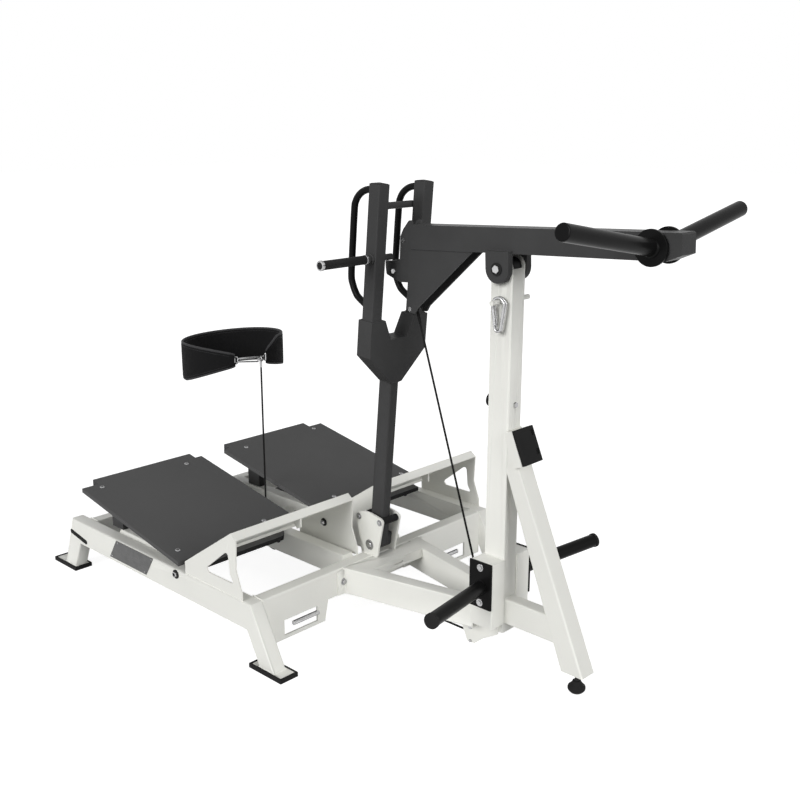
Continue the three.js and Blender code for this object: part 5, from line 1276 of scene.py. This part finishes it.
def make_studio():
    """White studio: pale floor, soft light from the near side and the horns' end, and the camera."""
    studio = bpy.context.scene.squat_studio
    scene = bpy.context.scene
    mesh = bpy.data.meshes.new("studio_floor")
    size = 30
    corners = [(-size, -size, 0), (size, -size, 0), (size, size, 0), (-size, size, 0)]
    mesh.from_pydata(corners, [], [(0, 1, 2, 3)])
    floor = bpy.data.objects.new("studio_floor", mesh)
    scene.collection.objects.link(floor)
    material = bpy.data.materials.new("studio_floor")
    material.use_nodes = True
    nodes, links = material.node_tree.nodes, material.node_tree.links
    nodes.clear()
    diffuse = nodes.new("ShaderNodeBsdfDiffuse")
    diffuse.inputs["Color"].default_value = (0.5, 0.5, 0.5, 1)
    glow = nodes.new("ShaderNodeEmission")
    glow.inputs["Color"].default_value = (1, 1, 1, 1)
    links.new(arithmetic(nodes, links, "MULTIPLY", seen_directly(nodes, links), 0.86), glow.inputs["Strength"])
    both = nodes.new("ShaderNodeAddShader")
    links.new(diffuse.outputs[0], both.inputs[0])
    links.new(glow.outputs[0], both.inputs[1])
    output = nodes.new("ShaderNodeOutputMaterial")
    links.new(both.outputs[0], output.inputs["Surface"])
    mesh.materials.append(material)

    world = bpy.data.worlds.new("studio_light")
    scene.world = world
    world.use_nodes = True
    nodes, links = world.node_tree.nodes, world.node_tree.links
    nodes.clear()
    background = nodes.new("ShaderNodeBackground")
    background.inputs["Color"].default_value = (1, 1, 1, 1)
    sky = ranged(nodes, links, seen_directly(nodes, links), 0.0, 1.0, studio.sky, 1.0)
    links.new(sky, background.inputs["Strength"])
    output = nodes.new("ShaderNodeOutputWorld")
    links.new(background.outputs[0], output.inputs["Surface"])

    for name, strength, way in (
        ("near_light", studio.near_light, Vector((-0.02, 1.0, -0.44))),
        ("end_light", studio.end_light, Vector((-1.0, 0.05, -0.42))),
    ):
        lamp = bpy.data.lights.new(name, "SUN")
        lamp.energy = strength
        lamp.angle = math.radians(32)
        light = bpy.data.objects.new(name, lamp)
        light.rotation_mode = "QUATERNION"
        light.rotation_quaternion = way.to_track_quat("-Z", "Y")
        scene.collection.objects.link(light)

    data = bpy.data.cameras.new("studio_camera")
    data.lens = studio.lens
    data.sensor_width = 36
    data.clip_start, data.clip_end = 0.05, 100
    camera = bpy.data.objects.new("studio_camera", data)
    azimuth, pitch = CAMERA_TURN
    level = math.cos(pitch)
    forward = Vector((-math.sin(azimuth) * level, math.cos(azimuth) * level, -math.sin(pitch)))
    camera.location = place(*CAMERA_PLACE)
    camera.rotation_mode = "QUATERNION"
    camera.rotation_quaternion = forward.to_track_quat("-Z", "Y")
    scene.collection.objects.link(camera)
    scene.camera = camera
    scene.view_settings.view_transform = "Standard"


# Operators and panel


class SQUAT_OT_finishes(bpy.types.Operator):
    """Make the coats, rubber, steel and webbing"""

    bl_idname = "squat.finishes"
    bl_label = "Finishes"
    bl_options = {"REGISTER", "UNDO"}

    def execute(self, context):
        make_finishes()
        return {"FINISHED"}


class SQUAT_OT_tubes(bpy.types.Operator):
    """Make the tubes, beams, mast and welds"""

    bl_idname = "squat.tubes"
    bl_label = "White frame"
    bl_options = {"REGISTER", "UNDO"}

    def execute(self, context):
        make_tubes()
        return {"FINISHED"}


class SQUAT_OT_feet(bpy.types.Operator):
    """Make the feet, leg strips and the bare plate"""

    bl_idname = "squat.feet"
    bl_label = "Feet and plate"
    bl_options = {"REGISTER", "UNDO"}

    def execute(self, context):
        make_feet()
        return {"FINISHED"}


class SQUAT_OT_boards(bpy.types.Operator):
    """Make the foot boards and their fasteners"""

    bl_idname = "squat.boards"
    bl_label = "Foot boards"
    bl_options = {"REGISTER", "UNDO"}

    def execute(self, context):
        make_boards()
        return {"FINISHED"}


class SQUAT_OT_base(bpy.types.Operator):
    """Make the cheeks, pin and rollers under the fork"""

    bl_idname = "squat.base"
    bl_label = "Fork base"
    bl_options = {"REGISTER", "UNDO"}

    def execute(self, context):
        make_base()
        return {"FINISHED"}


class SQUAT_OT_fork(bpy.types.Operator):
    """Make the stem, yoke, uprights, handles and grips"""

    bl_idname = "squat.fork"
    bl_label = "Rack fork"
    bl_options = {"REGISTER", "UNDO"}

    def execute(self, context):
        make_fork()
        return {"FINISHED"}


class SQUAT_OT_lever(bpy.types.Operator):
    """Make the lever beam, cheeks and pivot"""

    bl_idname = "squat.lever"
    bl_label = "Lever"
    bl_options = {"REGISTER", "UNDO"}

    def execute(self, context):
        make_lever()
        return {"FINISHED"}


class SQUAT_OT_horns(bpy.types.Operator):
    """Make the lever's horns and the storage horns"""

    bl_idname = "squat.horns"
    bl_label = "Weight horns"
    bl_options = {"REGISTER", "UNDO"}

    def execute(self, context):
        make_horns()
        return {"FINISHED"}


class SQUAT_OT_pulleys(bpy.types.Operator):
    """Make the pulleys and the cable's lengths"""

    bl_idname = "squat.pulleys"
    bl_label = "Pulleys and cable"
    bl_options = {"REGISTER", "UNDO"}

    def execute(self, context):
        make_pulleys()
        return {"FINISHED"}


class SQUAT_OT_rubber(bpy.types.Operator):
    """Make the stop pad and the bumper"""

    bl_idname = "squat.rubber"
    bl_label = "Pads"
    bl_options = {"REGISTER", "UNDO"}

    def execute(self, context):
        make_rubber()
        return {"FINISHED"}


class SQUAT_OT_snap_hooks(bpy.types.Operator):
    """Make the snap hooks on the mast"""

    bl_idname = "squat.snap_hooks"
    bl_label = "Snap hooks"
    bl_options = {"REGISTER", "UNDO"}

    def execute(self, context):
        make_snap_hooks()
        return {"FINISHED"}


class SQUAT_OT_belt(bpy.types.Operator):
    """Make the padded belt"""

    bl_idname = "squat.belt"
    bl_label = "Hip belt"
    bl_options = {"REGISTER", "UNDO"}

    def execute(self, context):
        make_belt()
        return {"FINISHED"}


class SQUAT_OT_belt_hooks(bpy.types.Operator):
    """Make the hooks between belt and cable"""

    bl_idname = "squat.belt_hooks"
    bl_label = "Belt hooks"
    bl_options = {"REGISTER", "UNDO"}

    def execute(self, context):
        make_belt_hooks()
        return {"FINISHED"}


class SQUAT_OT_studio(bpy.types.Operator):
    """Make the floor, lights and camera"""

    bl_idname = "squat.studio"
    bl_label = "Studio"
    bl_options = {"REGISTER", "UNDO"}

    def execute(self, context):
        make_studio()
        return {"FINISHED"}


OPERATORS = (
    SQUAT_OT_finishes, SQUAT_OT_tubes, SQUAT_OT_feet, SQUAT_OT_boards, SQUAT_OT_base, SQUAT_OT_fork,
    SQUAT_OT_lever, SQUAT_OT_horns, SQUAT_OT_pulleys, SQUAT_OT_rubber, SQUAT_OT_snap_hooks, SQUAT_OT_belt,
    SQUAT_OT_belt_hooks, SQUAT_OT_studio,
)


class SQUAT_PT_machine(bpy.types.Panel):
    """Pieces and settings of the belt squat machine"""

    bl_idname = "SQUAT_PT_machine"
    bl_label = "Belt squat machine"
    bl_space_type = "VIEW_3D"
    bl_region_type = "UI"
    bl_category = "Squat"

    def draw(self, context):
        layout = self.layout
        scene = context.scene
        for settings in (scene.squat_finishes, scene.squat_shapes, scene.squat_studio):
            box = layout.box()
            for prop in settings.bl_rna.properties:
                if prop.identifier not in {"rna_type", "name"}:
                    box.prop(settings, prop.identifier)
        for item in OPERATORS:
            layout.operator(item.bl_idname)


SETTINGS = (SquatFinishes, SquatShapes, SquatStudio)


def register():
    """Makes the settings, operators and panel known."""
    for item in (*SETTINGS, *OPERATORS, SQUAT_PT_machine):
        bpy.utils.register_class(item)
    bpy.types.Scene.squat_finishes = bpy.props.PointerProperty(type=SquatFinishes)
    bpy.types.Scene.squat_shapes = bpy.props.PointerProperty(type=SquatShapes)
    bpy.types.Scene.squat_studio = bpy.props.PointerProperty(type=SquatStudio)


def unregister():
    """Takes the settings, operators and panel away."""
    for name in ("squat_finishes", "squat_shapes", "squat_studio"):
        delattr(bpy.types.Scene, name)
    for item in (SQUAT_PT_machine, *OPERATORS[::-1], *SETTINGS):
        bpy.utils.unregister_class(item)


def main():
    register()
    for item in OPERATORS:
        group, name = item.bl_idname.split(".")
        getattr(getattr(bpy.ops, group), name)()


if __name__ == "__main__":
    main()
